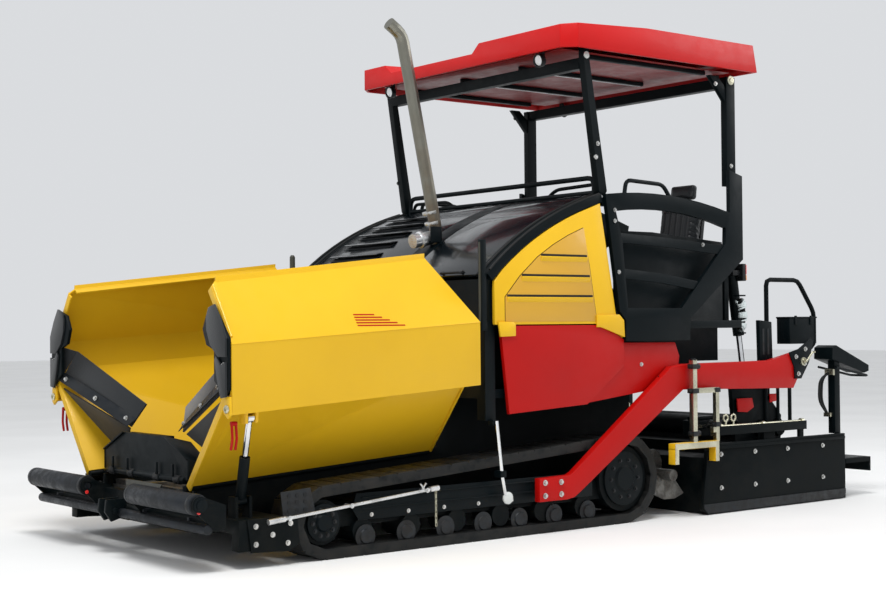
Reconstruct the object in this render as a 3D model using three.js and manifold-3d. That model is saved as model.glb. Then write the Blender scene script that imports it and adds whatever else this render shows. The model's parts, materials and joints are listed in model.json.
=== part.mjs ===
// Tracked asphalt paver with a folding hopper, a canopy and an extending screed.
// Millimetres, +Z up. The machine drives towards -Y and its left side is +X.
// The hopper's wings are folded up, the canopy stands up and the screed is on the ground.

import * as THREE from 'three';
import { mergeVertices } from 'three/addons/utils/BufferGeometryUtils.js';
import ManifoldModule from 'manifold-3d';

const wasm = await ManifoldModule();
wasm.setup();
const { Manifold, Mesh: ManifoldMesh } = wasm;

// ---------------------------------------------------------------- driving dimensions

// Clearances: between fixed neighbours, between moving pieces, and around pins.
const TOUCH = 0.4;
const RUN = 8;
const PIN_RUN = 1;

// Hopper wings. Heights are those of the front edge: the hinge line rises to the rear.
const HOPPER_FRONT_Y = -3000;
const HOPPER_LENGTH = 1935;
const HINGE_X = 684;
const HINGE_Z = 463;
const HINGE_RISE_DEG = 3.6;
const HINGE_RADIUS = 20;
const WING_SKIN = 14;
const WING_FLANGE = 50;
const WING_HALF_WIDTH = 1275;
const FLOOR_TOP_Z = 1182;
const SIDE_LOW_Z = 964;
const SIDE_HIGH_Z = 1382;
const SIDE_LIP = 42;
const TOP_LIP = 30;
const UPPER_LEAN_DEG = 34.7;
const UPPER_HEIGHT_FRONT = 466;
const UPPER_HEIGHT_REAR = 560;
const UPPER_CUT_BACK = 235;
const UPPER_FRONT_CHAMFER = 40;
const FRONT_PLATE_THICK = 24;
const FLAP_THICK = 14;

// Hopper cylinders, one at the front of each wing.
const CYLINDER_FOOT_X = 1020;
const CYLINDER_FOOT_Z = 400;
const CYLINDER_EYE_SET_IN = 85;
const CYLINDER_EYE_Z = 925;
const CYLINDER_Y_BACK = 200;
const CYLINDER_RADIUS = 34;
const CYLINDER_BARREL = 294;
const CYLINDER_STROKE = 230;
const ROD_RADIUS = 21;

// Front apron, push rollers and bumper bar.
const APRON_HALF_WIDTH = 590;
const APRON_FLAT_HALF = 290;
const APRON_LOW_Z = 500;
const APRON_HIGH_Z = 770;
const APRON_SHOULDER_Z = 640;
const APRON_THICK = 16;
const APRON_SET_BACK = 70;
const ROLLER_RADIUS = 65;
const ROLLER_Z = 420;
const ROLLER_INNER_X = 345;
const ROLLER_OUTER_X = 1210;
const ROLLER_SET_FORWARD = 185;
const BUMPER_Z = 285;
const BUMPER_RADIUS = 34;
const BUMPER_HALF_WIDTH = 1210;
const NOSE_FRONT_SET_BACK = 92;
const NOSE_DEPTH = 340;
const NOSE_LOW_Z = 110;
const NOSE_BEAM_Z = 215;
const NOSE_BLOCK_WIDTH = 90;
const NOSE_HIGH_Z = 300;

// Tracks.
const TRACK_OUTER_X = 1190;
const TRACK_WIDTH = 305;
const IDLER_SET_BACK = 720;
const IDLER_RADIUS = 235;
const SPROCKET_PAST_BODY = 270;
const SPROCKET_RADIUS = 330;
const TRACK_THICK = 70;
const SHOE_COUNT = 46;
const SHOE_RELIEF = 14;
const SHOE_GAP = 16;
const ROLLER_WHEEL_RADIUS = 80;
const ROLLER_WHEEL_COUNT = 6;

// Chassis.
const WALL_OUTER_X = 672;
const WALL_THICK = 50;
const CHASSIS_LOW_Z = 170;
const CHASSIS_FLOOR_THICK = 40;
const DECK_Z = 930;
const DECK_THICK = 40;
const CHASSIS_TAIL = 820;
const CHASSIS_TAIL_CUT = 290;
const CONVEYOR_DECK_Z = 360;
const CONVEYOR_DECK_THICK = 30;
const SLAT_HEIGHT = 34;
const SLAT_COUNT = 12;

// Engine bay: hood, doors and bulkhead.
const BODY_GAP = 105;
const BULKHEAD_THICK = 40;
const BODY_HALF_WIDTH = 1235;
const HOOD_LENGTH = 1090;
const HOOD_FRONT_Z = 1830;
const HOOD_REAR_Z = 2430;
const HOOD_CREST_Z = 2250;
const HOOD_THICK = 26;
const HOOD_TRIM = 60;
const HOOD_STRIP_LEFT_X = 290;
const HOOD_STRIP_RIGHT_X = 100;
const DOOR_THICK = 30;
const DOOR_LOW_Z = 1480;
const PANEL_LOW_Z = 860;
const COLUMN_SIZE = 90;
const ENGINE_WIDTH = 900;
const ENGINE_LENGTH = 760;
const ENGINE_HEIGHT = 800;

// Exhaust pipe.
const EXHAUST_X = 200;
const EXHAUST_RADIUS = 48;
const EXHAUST_LEAN = 305;
const EXHAUST_BASE_SET_BACK = 360;
const EXHAUST_BEND_Z = 3640;
const EXHAUST_TOP_Z = 3715;

// Operator's platform.
const PLATFORM_LENGTH = 1540;
const PLATFORM_Z = 1500;
const PLATFORM_THICK = 60;
const FRAME_OUTER_X = 1255;
const FRAME_THICK = 36;
const ARCH_FRONT_Z = 2470;
const ARCH_REAR_Z = 2345;
const ARCH_DEPTH = 122;
const SEAT_X = 760;
const SEAT_SET_BACK = 1090;
const SEAT_WIDTH = 480;
const SEAT_Z = 1960;
const HEADREST_Z = 2620;
const SIDE_PANEL_X = 1120;
const CONSOLE_Z = 2330;

// Canopy.
const POST_WIDTH = 60;
const POST_DEPTH = 100;
const FRONT_POST_DEPTH = 80;
const FRONT_FOOT_SET_BACK = 31;
const FRONT_FOOT_Z = 2464;
const FRONT_POST_LEAN = 154;
const POST_SPACING = 1415;
const REAR_PIVOT_Z = 2620;
const ROOF_LOW_Z = 3468;
const ROOF_HIGH_Z = 3682;
const ROOF_HALF_WIDTH = 1305;
const ROOF_OVERHANG = 415;
const ROOF_LENGTH = 2048;
const ROOF_SHELL = 22;
const ROOF_CORNER = 90;
const ROOF_FRONT_SLOPE = 800;
const TROUGH_RIGHT_X = 990;
const TROUGH_LEFT_X = 360;
const TROUGH_RAMP = 150;
const TROUGH_DROP = 115;
const ROOF_POCKET_TOP = 37;
const ROOF_POCKET_LENGTH = 300;
const CANOPY_BEAM = 80;

// Tow arms and screed lift.
const ARM_TRACK_GAP = 27;
const END_PLATE_SET_OUT = 3;
const ARM_THICK = 55;
const TOW_PIN_SET_BACK = 560;
const TOW_PIN_Z = 318;
const ARM_DEPTH = 200;
const ARM_RISE_LENGTH = 1340;
const ARM_TOP_Z = 1175;
const ARM_LENGTH = 2644;
const LIFT_X = 1035;
const LIFT_TOP_SET_BACK = 75;
const LIFT_TOP_Z = 1980;
const LIFT_LEAN = 170;
const LIFT_FOOT_Z = 930;
const LIFT_BARREL = 610;
const LIFT_STROKE = 290;
const LIFT_RADIUS = 45;
const LIFT_ROD_RADIUS = 24;

// Augers.
const AUGER_SET_BACK = 20;
const AUGER_Z = 310;
const AUGER_RADIUS = 190;
const AUGER_SHAFT_RADIUS = 45;
const AUGER_PITCH = 360;
const AUGER_INNER_X = 90;
const AUGER_OUTER_X = 1120;

// Screed.
const SCREED_SET_BACK = 30;
const SCREED_DEPTH = 560;
const SCREED_CLEAR_Z = 5;
const SCREED_HEIGHT = 430;
const EXTENSION_GAP = 25;
const EXTENSION_DEPTH = 710;
const END_PLATE_THICK = 40;
const END_PLATE_AHEAD = 60;
const END_PLATE_HEIGHT = 545;
const END_PLATE_REACH = 1762;
const GUIDE_RADIUS = 62;
const HOUSING_RADIUS = 90;
const HOUSING_Z = 620;
const WALKWAY_DEPTH = 340;
const WALKWAY_Z = 330;
const UPRIGHT_TOP_Z = 1160;

// ---------------------------------------------------------------- materials

const paint = (color, roughness, metalness) =>
  new THREE.MeshStandardMaterial({ color, roughness, metalness });
const YELLOW = paint(0xf2c21c, 0.35, 0.0);
const RED = paint(0xc4120c, 0.3, 0.0);
const BLACK = paint(0x11181a, 0.45, 0.1);
const GLOSS_BLACK = paint(0x0b1116, 0.15, 0.1);
const RUBBER = paint(0x1c2124, 0.75, 0.0);
const STEEL = paint(0x6d6a63, 0.5, 0.8);
const CHROME = paint(0xb9bdc0, 0.12, 1.0);
const STAINLESS = paint(0x8c857a, 0.3, 0.9);
const ZINC = paint(0xa9a88c, 0.35, 0.9);
const VINYL = paint(0x14171a, 0.6, 0.0);

// ---------------------------------------------------------------- shape helpers

const rad = THREE.MathUtils.degToRad;
const vec = (x, y, z) => new THREE.Vector3(x, y, z);

// A box between two corners, given as spans along each axis.
function box([x0, x1], [y0, y1], [z0, z1]) {
  const geometry = new THREE.BoxGeometry(Math.abs(x1 - x0), Math.abs(y1 - y0), Math.abs(z1 - z0));
  return geometry.translate((x0 + x1) / 2, (y0 + y1) / 2, (z0 + z1) / 2);
}

// A flat plate: 2-D points on a plane through origin, thickened along its normal u x v.
function plate(points, thickness, origin, u, v) {
  const shape = new THREE.Shape(points.map(([a, b]) => new THREE.Vector2(a, b)));
  const geometry = new THREE.ExtrudeGeometry(shape, { depth: thickness, bevelEnabled: false });
  const normal = u.clone().cross(v);
  geometry.applyMatrix4(new THREE.Matrix4().makeBasis(u, v, normal).setPosition(origin));
  return geometry;
}

// Plates whose outline is in the YZ, XZ or XY plane, thick from one coordinate to another.
const plateYZ = (points, x0, x1) => plate(points, x1 - x0, vec(x0, 0, 0), vec(0, 1, 0), vec(0, 0, 1));
const plateXZ = (points, y0, y1) => plate(points, y1 - y0, vec(0, y1, 0), vec(1, 0, 0), vec(0, 0, 1));
const plateXY = (points, z0, z1) => plate(points, z1 - z0, vec(0, 0, z0), vec(1, 0, 0), vec(0, 1, 0));

// A cylinder between two points.
function rod(from, to, radius, sides = 20) {
  const along = to.clone().sub(from);
  const geometry = new THREE.CylinderGeometry(radius, radius, along.length(), sides);
  const turn = new THREE.Quaternion().setFromUnitVectors(vec(0, 1, 0), along.clone().normalize());
  geometry.applyQuaternion(turn);
  return geometry.translate((from.x + to.x) / 2, (from.y + to.y) / 2, (from.z + to.z) / 2);
}

// A path that visits its points one by one, so that a bent tube has a ring only where it bends.
class BentPath extends THREE.Curve {
  constructor(points) {
    super();
    this.points = points;
  }

  getPointAt(t) {
    return this.points[Math.round(t * (this.points.length - 1))].clone();
  }

  getTangentAt(t) {
    const last = this.points.length - 1;
    const i = Math.round(t * last);
    const before = this.points[Math.max(i - 1, 0)];
    const here = this.points[i];
    const after = this.points[Math.min(i + 1, last)];
    const into = here.clone().sub(before).normalize();
    const out = after.clone().sub(here).normalize();
    return into.add(out).normalize();
  }
}

// A round tube through corner points, each inner corner rounded by the bend radius.
function bentTube(corners, radius, bend, sides = 10, stepsPerBend = 4) {
  const points = [corners[0]];
  for (let i = 1; i < corners.length - 1; i += 1) {
    const back = corners[i - 1].clone().sub(corners[i]);
    const ahead = corners[i + 1].clone().sub(corners[i]);
    const reach = Math.min(bend, back.length() / 2.2, ahead.length() / 2.2);
    const start = corners[i].clone().addScaledVector(back.normalize(), reach);
    const end = corners[i].clone().addScaledVector(ahead.normalize(), reach);
    const curve = new THREE.QuadraticBezierCurve3(start, corners[i], end);
    points.push(...curve.getPoints(stepsPerBend));
  }
  points.push(corners[corners.length - 1]);
  const section = new THREE.Shape();
  section.absarc(0, 0, radius, 0, 2 * Math.PI);
  return new THREE.ExtrudeGeometry(section, {
    extrudePath: new BentPath(points), steps: points.length - 1, curveSegments: sides / 2,
  });
}

function toManifold(geometry) {
  const bare = new THREE.BufferGeometry();
  bare.setAttribute('position', geometry.getAttribute('position'));
  if (geometry.index) bare.setIndex(geometry.index);
  const welded = mergeVertices(bare, 1e-3);
  return new Manifold(new ManifoldMesh({
    numProp: 3,
    vertProperties: new Float32Array(welded.getAttribute('position').array),
    triVerts: new Uint32Array(welded.index.array),
  }));
}

function fromManifold(solid) {
  const mesh = solid.getMesh();
  const geometry = new THREE.BufferGeometry();
  geometry.setAttribute('position', new THREE.BufferAttribute(mesh.vertProperties, 3));
  geometry.setIndex(new THREE.BufferAttribute(mesh.triVerts, 1));
  return geometry;
}

const join = (...pieces) => fromManifold(Manifold.union(pieces.map(toManifold)));
const cut = (base, ...tools) =>
  fromManifold(toManifold(base).subtract(Manifold.union(tools.map(toManifold))));

// The same shape on the machine's other side.
function mirrored(geometry) {
  const source = geometry.index ? geometry.toNonIndexed() : geometry;
  const from = source.getAttribute('position').array;
  const to = new Float32Array(from.length);
  for (let i = 0; i < from.length; i += 9) {
    for (const [slot, corner] of [0, 2, 1].entries()) {
      to[i + 3 * slot] = -from[i + 3 * corner];
      to[i + 3 * slot + 1] = from[i + 3 * corner + 1];
      to[i + 3 * slot + 2] = from[i + 3 * corner + 2];
    }
  }
  const flipped = new THREE.BufferGeometry();
  flipped.setAttribute('position', new THREE.BufferAttribute(to, 3));
  return flipped;
}

const machine = new THREE.Group();

function add(name, material, geometry) {
  const mesh = new THREE.Mesh(geometry, material);
  mesh.name = name;
  machine.add(mesh);
}

function addPair(name, material, geometry) {
  add(`left_${name}`, material, geometry);
  add(`right_${name}`, material, mirrored(geometry));
}

// ---------------------------------------------------------------- shared places

const HINGE_SLOPE = Math.tan(rad(HINGE_RISE_DEG));
const HOPPER_REAR_Y = HOPPER_FRONT_Y + HOPPER_LENGTH;
const BODY_FRONT_Y = HOPPER_REAR_Y + BODY_GAP;
const HOOD_REAR_Y = BODY_FRONT_Y + HOOD_LENGTH;
const PLATFORM_FRONT_Y = HOOD_REAR_Y + 10;
const PLATFORM_REAR_Y = PLATFORM_FRONT_Y + PLATFORM_LENGTH;
const IDLER_Y = HOPPER_FRONT_Y + IDLER_SET_BACK;
const SPROCKET_Y = HOOD_REAR_Y + SPROCKET_PAST_BODY;
const CHASSIS_REAR_Y = PLATFORM_FRONT_Y + CHASSIS_TAIL;
const TOW_PIN_Y = BODY_FRONT_Y + TOW_PIN_SET_BACK;
const ARM_BEND_Y = TOW_PIN_Y + ARM_RISE_LENGTH;
const ARM_REAR_Y = TOW_PIN_Y + ARM_LENGTH;
const AUGER_Y = CHASSIS_REAR_Y + AUGER_SET_BACK;
const SCREED_FRONT_Y = AUGER_Y + AUGER_RADIUS + SCREED_SET_BACK;
const END_PLATE_FRONT_Y = SCREED_FRONT_Y - END_PLATE_AHEAD;
const NOSE_FRONT_Y = HOPPER_FRONT_Y + NOSE_FRONT_SET_BACK;
const NOSE_REAR_Y = NOSE_FRONT_Y + NOSE_DEPTH;
const TRACK_INNER_X = TRACK_OUTER_X - TRACK_WIDTH;
const ARM_OUTER_X = TRACK_OUTER_X + ARM_TRACK_GAP + ARM_THICK;
const END_PLATE_OUTER_X = ARM_OUTER_X + END_PLATE_SET_OUT;
const CYLINDER_EYE_X = WING_HALF_WIDTH - CYLINDER_EYE_SET_IN;
const hingeZ = (y) => HINGE_Z + (y - HOPPER_FRONT_Y) * HINGE_SLOPE;

// ---------------------------------------------------------------- hopper wings

// Shapes of a wing are drawn with the hinge line level, then lifted ever more towards the rear.
function raised(geometry) {
  const shear = new THREE.Matrix4().set(
    1, 0, 0, 0,
    0, 1, 0, 0,
    0, HINGE_SLOPE, 1, -HOPPER_FRONT_Y * HINGE_SLOPE,
    0, 0, 0, 1,
  );
  return geometry.applyMatrix4(shear);
}

const CYLINDER_Y = HOPPER_FRONT_Y + CYLINDER_Y_BACK;
const CYLINDER_EYE_Y = CYLINDER_Y - (CYLINDER_EYE_Z - CYLINDER_FOOT_Z) * HINGE_SLOPE;
const FLOOR_ANGLE = Math.atan2(FLOOR_TOP_Z - HINGE_Z, WING_HALF_WIDTH - WING_SKIN - HINGE_X);
const FLOOR_UP = vec(Math.cos(FLOOR_ANGLE), 0, Math.sin(FLOOR_ANGLE));
const FLOOR_OUT = vec(Math.sin(FLOOR_ANGLE), 0, -Math.cos(FLOOR_ANGLE));
const REARWARD = vec(0, 1, 0);
const FLOOR_START = HINGE_RADIUS + RUN;
const FLOOR_REACH = (FLOOR_TOP_Z - HINGE_Z) / Math.sin(FLOOR_ANGLE);
const floorZ = (x) => HINGE_Z + (x - HINGE_X) * Math.tan(FLOOR_ANGLE);
const LEAN = rad(UPPER_LEAN_DEG);
const UPPER_UP = vec(-Math.sin(LEAN), 0, Math.cos(LEAN));

function wing() {
  const hinge = vec(HINGE_X, HOPPER_FRONT_Y, HINGE_Z);
  const floorOrigin = hinge.clone().addScaledVector(FLOOR_OUT, WING_SKIN);
  const floorPoints = [
    [FLOOR_START, 0], [FLOOR_REACH, 0], [FLOOR_REACH, HOPPER_LENGTH], [FLOOR_START, HOPPER_LENGTH],
  ];
  const floor = plate(floorPoints, WING_SKIN, floorOrigin, FLOOR_UP, REARWARD);
  const flangeUnder = (width) => plate(
    [[FLOOR_START, 0], [FLOOR_REACH - 60, 0], [FLOOR_REACH - 60, width], [FLOOR_START, width]],
    WING_SKIN, hinge, FLOOR_UP, FLOOR_OUT,
  );
  const rearFlange = flangeUnder(WING_FLANGE * 0.6).translate(0, HOPPER_LENGTH - WING_SKIN, 0);
  const spans = [HOPPER_FRONT_Y, HOPPER_REAR_Y];
  const side = box([WING_HALF_WIDTH - WING_SKIN, WING_HALF_WIDTH], spans, [SIDE_LOW_Z, SIDE_HIGH_Z]);
  const lip = box([WING_HALF_WIDTH - SIDE_LIP, WING_HALF_WIDTH], spans,
    [SIDE_LOW_Z - WING_SKIN, SIDE_LOW_Z + 1]);
  const sideFlange = box([WING_HALF_WIDTH - WING_FLANGE, WING_HALF_WIDTH - 1],
    [HOPPER_FRONT_Y, HOPPER_FRONT_Y + WING_SKIN], [SIDE_LOW_Z, SIDE_HIGH_Z]);
  const crease = vec(WING_HALF_WIDTH, HOPPER_FRONT_Y, SIDE_HIGH_Z);
  const inward = UPPER_UP.clone().cross(REARWARD);
  const upperOrigin = crease.clone().addScaledVector(inward, WING_SKIN);
  const c = UPPER_FRONT_CHAMFER;
  const upper = plate([
    [0, -WING_SKIN / 2], [HOPPER_LENGTH, -WING_SKIN / 2],
    [HOPPER_LENGTH - UPPER_CUT_BACK, UPPER_HEIGHT_REAR],
    [c, UPPER_HEIGHT_FRONT], [0, UPPER_HEIGHT_FRONT - c],
  ], WING_SKIN, upperOrigin, REARWARD, UPPER_UP);
  const topRun = HOPPER_LENGTH - UPPER_CUT_BACK - c;
  const topAngle = Math.atan2(UPPER_HEIGHT_REAR - UPPER_HEIGHT_FRONT, topRun);
  const topLength = topRun / Math.cos(topAngle);
  const edge = UPPER_UP.clone().multiplyScalar(Math.sin(topAngle));
  edge.addScaledVector(REARWARD, Math.cos(topAngle));
  const topStart = crease.clone().addScaledVector(REARWARD, c);
  topStart.addScaledVector(UPPER_UP, UPPER_HEIGHT_FRONT - WING_SKIN - 1).addScaledVector(inward, 1);
  const topFlange = plate(
    [[0, 0], [topLength, 0], [topLength, WING_FLANGE], [0, WING_FLANGE]],
    WING_SKIN, topStart, edge, inward,
  );
  const lipRise = WING_SKIN + TOP_LIP;
  const topLip = plate(
    [[0, 0], [topLength, 0], [topLength, lipRise], [0, lipRise]],
    WING_SKIN * 0.8, topStart.clone().addScaledVector(inward, WING_SKIN * 0.9), edge, vec(0, 0, 1),
  );
  const frontStart = crease.clone().addScaledVector(inward, 1).addScaledVector(REARWARD, WING_SKIN);
  const reach = UPPER_HEIGHT_FRONT - c;
  const frontFlange = plate(
    [[0, 0], [reach, 0], [reach, WING_FLANGE], [0, WING_FLANGE]], WING_SKIN, frontStart, UPPER_UP, inward,
  );
  const eyeX = CYLINDER_EYE_X;
  const eyeZ = CYLINDER_EYE_Z - (CYLINDER_EYE_Y - HOPPER_FRONT_Y) * HINGE_SLOPE;
  const ears = [-46, 27].map((offset) => plateXZ([
    [eyeX - 32, eyeZ - 32], [eyeX + 32, eyeZ - 32], [eyeX + 45, floorZ(eyeX + 45) - 5],
    [eyeX - 45, floorZ(eyeX - 45) - 5],
  ], CYLINDER_EYE_Y + offset, CYLINDER_EYE_Y + offset + 19));
  return raised(join(
    floor, flangeUnder(WING_FLANGE), rearFlange, side, lip, sideFlange, upper, topFlange, topLip,
    frontFlange, ...ears,
  ));
}

// The black plate that closes a wing's front end, and the rubber flap that leans in behind it.
function wingFrontPlate() {
  const outerX = WING_HALF_WIDTH - 8;
  const y1 = HOPPER_FRONT_Y - TOUCH;
  const plateShape = plateXZ([
    [outerX - 30, SIDE_LOW_Z + 100], [outerX, SIDE_LOW_Z + 140], [outerX, SIDE_HIGH_Z + 30],
    [outerX - 165, SIDE_HIGH_Z + 215], [outerX - 250, SIDE_HIGH_Z + 190], [outerX - 305, SIDE_HIGH_Z + 90],
    [outerX - 260, SIDE_HIGH_Z - 10], [outerX - 167, SIDE_HIGH_Z - 40], [outerX - 167, SIDE_LOW_Z + 190],
  ], y1 - FRONT_PLATE_THICK, y1);
  return raised(plateShape);
}

function wingFlap() {
  const outerX = WING_HALF_WIDTH - 95;
  const outerLow = vec(outerX, HOPPER_FRONT_Y + 12, floorZ(outerX) + 32);
  const innerLow = vec(370, HOPPER_FRONT_Y + 155, 798);
  const innerHigh = vec(300, HOPPER_FRONT_Y + 300, 935);
  const outerHigh = vec(outerX - 85, HOPPER_FRONT_Y + 95, floorZ(outerX) + 235);
  const along = innerLow.clone().sub(outerLow);
  const length = along.length();
  along.normalize();
  const up = outerHigh.clone().sub(outerLow);
  up.addScaledVector(along, -up.dot(along)).normalize();
  const flat = (corner) => {
    const arm = corner.clone().sub(outerLow);
    return [arm.dot(along), arm.dot(up)];
  };
  return plate([[0, 0], [length, 0], flat(innerHigh), flat(outerHigh)], FLAP_THICK, outerLow, along, up);
}

// ---------------------------------------------------------------- hopper cylinders

const cylinderFoot = vec(CYLINDER_FOOT_X, CYLINDER_Y, CYLINDER_FOOT_Z);
const cylinderEye = vec(CYLINDER_EYE_X, CYLINDER_EYE_Y, CYLINDER_EYE_Z);
const HINGE_LINE = vec(0, Math.cos(rad(HINGE_RISE_DEG)), Math.sin(rad(HINGE_RISE_DEG)));

// A point on the line from one pin to another, at a distance from the first.
const along = (from, to, distance) =>
  from.clone().addScaledVector(to.clone().sub(from).normalize(), distance);

// The bore starts this many radii from the foot pin, and the rod stays clear of its bottom.
const BORE_START = 1.1;

// A barrel with its foot eye, bored for the rod that slides in it.
function cylinderBarrel(foot, eye, length, radius, rodRadius, eyeAxis) {
  const mouth = along(foot, eye, length);
  const body = rod(along(foot, eye, radius * 0.7), mouth, radius, 16);
  const eyeRing = rod(foot.clone().addScaledVector(eyeAxis, -radius),
    foot.clone().addScaledVector(eyeAxis, radius), radius * 0.9, 16);
  const bore = rod(along(foot, eye, radius * BORE_START), along(foot, eye, length + 10),
    rodRadius + PIN_RUN * 2, 16);
  return cut(join(body, eyeRing), bore);
}

function cylinderRod(foot, eye, insertion, radius, eyeRadius, eyeAxis) {
  const total = foot.distanceTo(eye);
  const shaft = rod(along(foot, eye, insertion), along(foot, eye, total - eyeRadius * 0.5), radius, 16);
  const eyeRing = rod(eye.clone().addScaledVector(eyeAxis, -eyeRadius * 0.7),
    eye.clone().addScaledVector(eyeAxis, eyeRadius * 0.7), eyeRadius, 16);
  return join(shaft, eyeRing);
}

// ---------------------------------------------------------------- front apron and push rollers

const APRON_Y = HOPPER_FRONT_Y + APRON_SET_BACK;

function frontApron() {
  const face = plateXZ([
    [-APRON_HALF_WIDTH, APRON_LOW_Z], [APRON_HALF_WIDTH, APRON_LOW_Z],
    [APRON_HALF_WIDTH, APRON_SHOULDER_Z], [APRON_FLAT_HALF, APRON_HIGH_Z],
    [-APRON_FLAT_HALF, APRON_HIGH_Z], [-APRON_HALF_WIDTH, APRON_SHOULDER_Z],
  ], APRON_Y, APRON_Y + APRON_THICK);
  const cap = box([-APRON_FLAT_HALF, APRON_FLAT_HALF], [APRON_Y, APRON_Y + 70],
    [APRON_HIGH_Z - APRON_THICK, APRON_HIGH_Z]);
  const barrel = rod(vec(-APRON_HALF_WIDTH + 40, APRON_Y + 8, APRON_LOW_Z),
    vec(APRON_HALF_WIDTH - 40, APRON_Y + 8, APRON_LOW_Z), 24);
  return join(face, cap, barrel);
}

const ROLLER_Y = HOPPER_FRONT_Y - ROLLER_SET_FORWARD;

function pushRoller() {
  const drum = rod(vec(ROLLER_INNER_X, ROLLER_Y, ROLLER_Z), vec(ROLLER_OUTER_X - 26, ROLLER_Y, ROLLER_Z),
    ROLLER_RADIUS, 20);
  const stub = rod(vec(ROLLER_INNER_X - 20, ROLLER_Y, ROLLER_Z), vec(ROLLER_OUTER_X, ROLLER_Y, ROLLER_Z),
    ROLLER_RADIUS * 0.35, 16);
  return join(drum, stub);
}

// The beam that carries both rollers and pivots on a pin at the machine's centre.
const BEAM_PIN_Y = HOPPER_FRONT_Y - 40;

function pushBeam() {
  const beamLow = BUMPER_Z - 20;
  const beamHigh = ROLLER_Z - 20;
  const beam = box([-1130, 1130], [BEAM_PIN_Y - 30, BEAM_PIN_Y + 40], [beamLow, beamHigh]);
  const bumper = rod(vec(-BUMPER_HALF_WIDTH, BEAM_PIN_Y - 30, BUMPER_Z),
    vec(BUMPER_HALF_WIDTH, BEAM_PIN_Y - 30, BUMPER_Z), BUMPER_RADIUS);
  const pieces = [beam, bumper];
  const eye = ROLLER_RADIUS * 0.8;
  const bracketOutline = [[BEAM_PIN_Y + 30, beamLow], [BEAM_PIN_Y + 30, ROLLER_Z - 10]];
  for (let a = 80; a <= 250; a += 17) {
    bracketOutline.push([ROLLER_Y + eye * Math.cos(rad(a)), ROLLER_Z + eye * Math.sin(rad(a))]);
  }
  bracketOutline.push([BEAM_PIN_Y - 50, beamLow]);
  const thick = 18;
  const inner = ROLLER_INNER_X - 6 - thick;
  const outer = ROLLER_OUTER_X - thick;
  for (const x of [-inner - thick, inner, -outer - thick, outer]) {
    pieces.push(plateYZ(bracketOutline, x, x + thick));
  }
  const reach = box([1100, outer + 1], [BEAM_PIN_Y - 25, BEAM_PIN_Y + 25], [beamLow, beamHigh]);
  const body = join(...pieces, reach, mirrored(reach));
  const bores = [];
  for (const side of [1, -1]) {
    const from = vec(side * (inner - 60), ROLLER_Y, ROLLER_Z);
    bores.push(rod(from, vec(side * (outer + 60), ROLLER_Y, ROLLER_Z),
      ROLLER_RADIUS * 0.35 + PIN_RUN * 2, 16));
  }
  const pinHole = rod(vec(0, BEAM_PIN_Y + 5, beamLow - 50), vec(0, BEAM_PIN_Y + 5, beamHigh + 50), 24, 20);
  return cut(body, ...bores, pinHole);
}

// ---------------------------------------------------------------- tracks

// A belt line around the idler and the sprocket, both standing on the ground.
// It returns the point and the outward normal at a share of the way round.
function beltLine(inset) {
  const r1 = IDLER_RADIUS - inset;
  const r2 = SPROCKET_RADIUS - inset;
  const span = SPROCKET_Y - IDLER_Y;
  const lift = 2 * Math.atan2(SPROCKET_RADIUS - IDLER_RADIUS, span);
  const run = Math.sqrt(span ** 2 + (SPROCKET_RADIUS - IDLER_RADIUS) ** 2 - (r2 - r1) ** 2);
  const rearArc = r2 * (Math.PI + lift);
  const frontArc = r1 * (Math.PI - lift);
  const total = 2 * run + rearArc + frontArc;
  return (share) => {
    let s = share * total;
    if (s < run) return { y: IDLER_Y + s, z: inset, ny: 0, nz: -1 };
    s -= run;
    if (s < rearArc) {
      const a = -Math.PI / 2 + s / r2;
      return { y: SPROCKET_Y + r2 * Math.cos(a), z: SPROCKET_RADIUS + r2 * Math.sin(a),
        ny: Math.cos(a), nz: Math.sin(a) };
    }
    s -= rearArc;
    const a = Math.PI / 2 + lift;
    if (s < run) {
      const y = SPROCKET_Y + r2 * Math.cos(a) - s * Math.sin(a);
      const z = SPROCKET_RADIUS + r2 * Math.sin(a) + s * Math.cos(a);
      return { y, z, ny: Math.cos(a), nz: Math.sin(a) };
    }
    s -= run;
    const b = a + s / r1;
    return { y: IDLER_Y + r1 * Math.cos(b), z: IDLER_RADIUS + r1 * Math.sin(b),
      ny: Math.cos(b), nz: Math.sin(b) };
  };
}

const shoePitch = () => (2 * (SPROCKET_Y - IDLER_Y)
  + Math.PI * (IDLER_RADIUS + SPROCKET_RADIUS - TRACK_THICK)) / SHOE_COUNT;

function track() {
  const middle = beltLine(TRACK_THICK / 2);
  const gapShare = SHOE_GAP / (shoePitch() * SHOE_COUNT);
  const outline = [];
  const out = (p, h) => [p.y + p.ny * h, p.z + p.nz * h];
  for (let i = 0; i < SHOE_COUNT; i += 1) {
    const start = middle(i / SHOE_COUNT);
    const rise = middle(i / SHOE_COUNT + gapShare / 2);
    const fall = middle((i + 1) / SHOE_COUNT - gapShare / 2);
    outline.push(out(start, TRACK_THICK / 2 - SHOE_RELIEF));
    outline.push(out(rise, TRACK_THICK / 2));
    outline.push(out(fall, TRACK_THICK / 2));
  }
  const hole = [];
  for (let i = 0; i < SHOE_COUNT; i += 1) hole.push(out(middle(i / SHOE_COUNT), -TRACK_THICK / 2));
  const shape = new THREE.Shape(outline.map(([y, z]) => new THREE.Vector2(y, z)));
  shape.holes.push(new THREE.Path(hole.reverse().map(([y, z]) => new THREE.Vector2(y, z))));
  const geometry = new THREE.ExtrudeGeometry(shape, { depth: TRACK_WIDTH, bevelEnabled: false });
  const frame = new THREE.Matrix4().makeBasis(vec(0, 1, 0), vec(0, 0, 1), vec(1, 0, 0));
  geometry.applyMatrix4(frame.setPosition(TRACK_INNER_X, 0, 0));
  return geometry;
}

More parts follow.
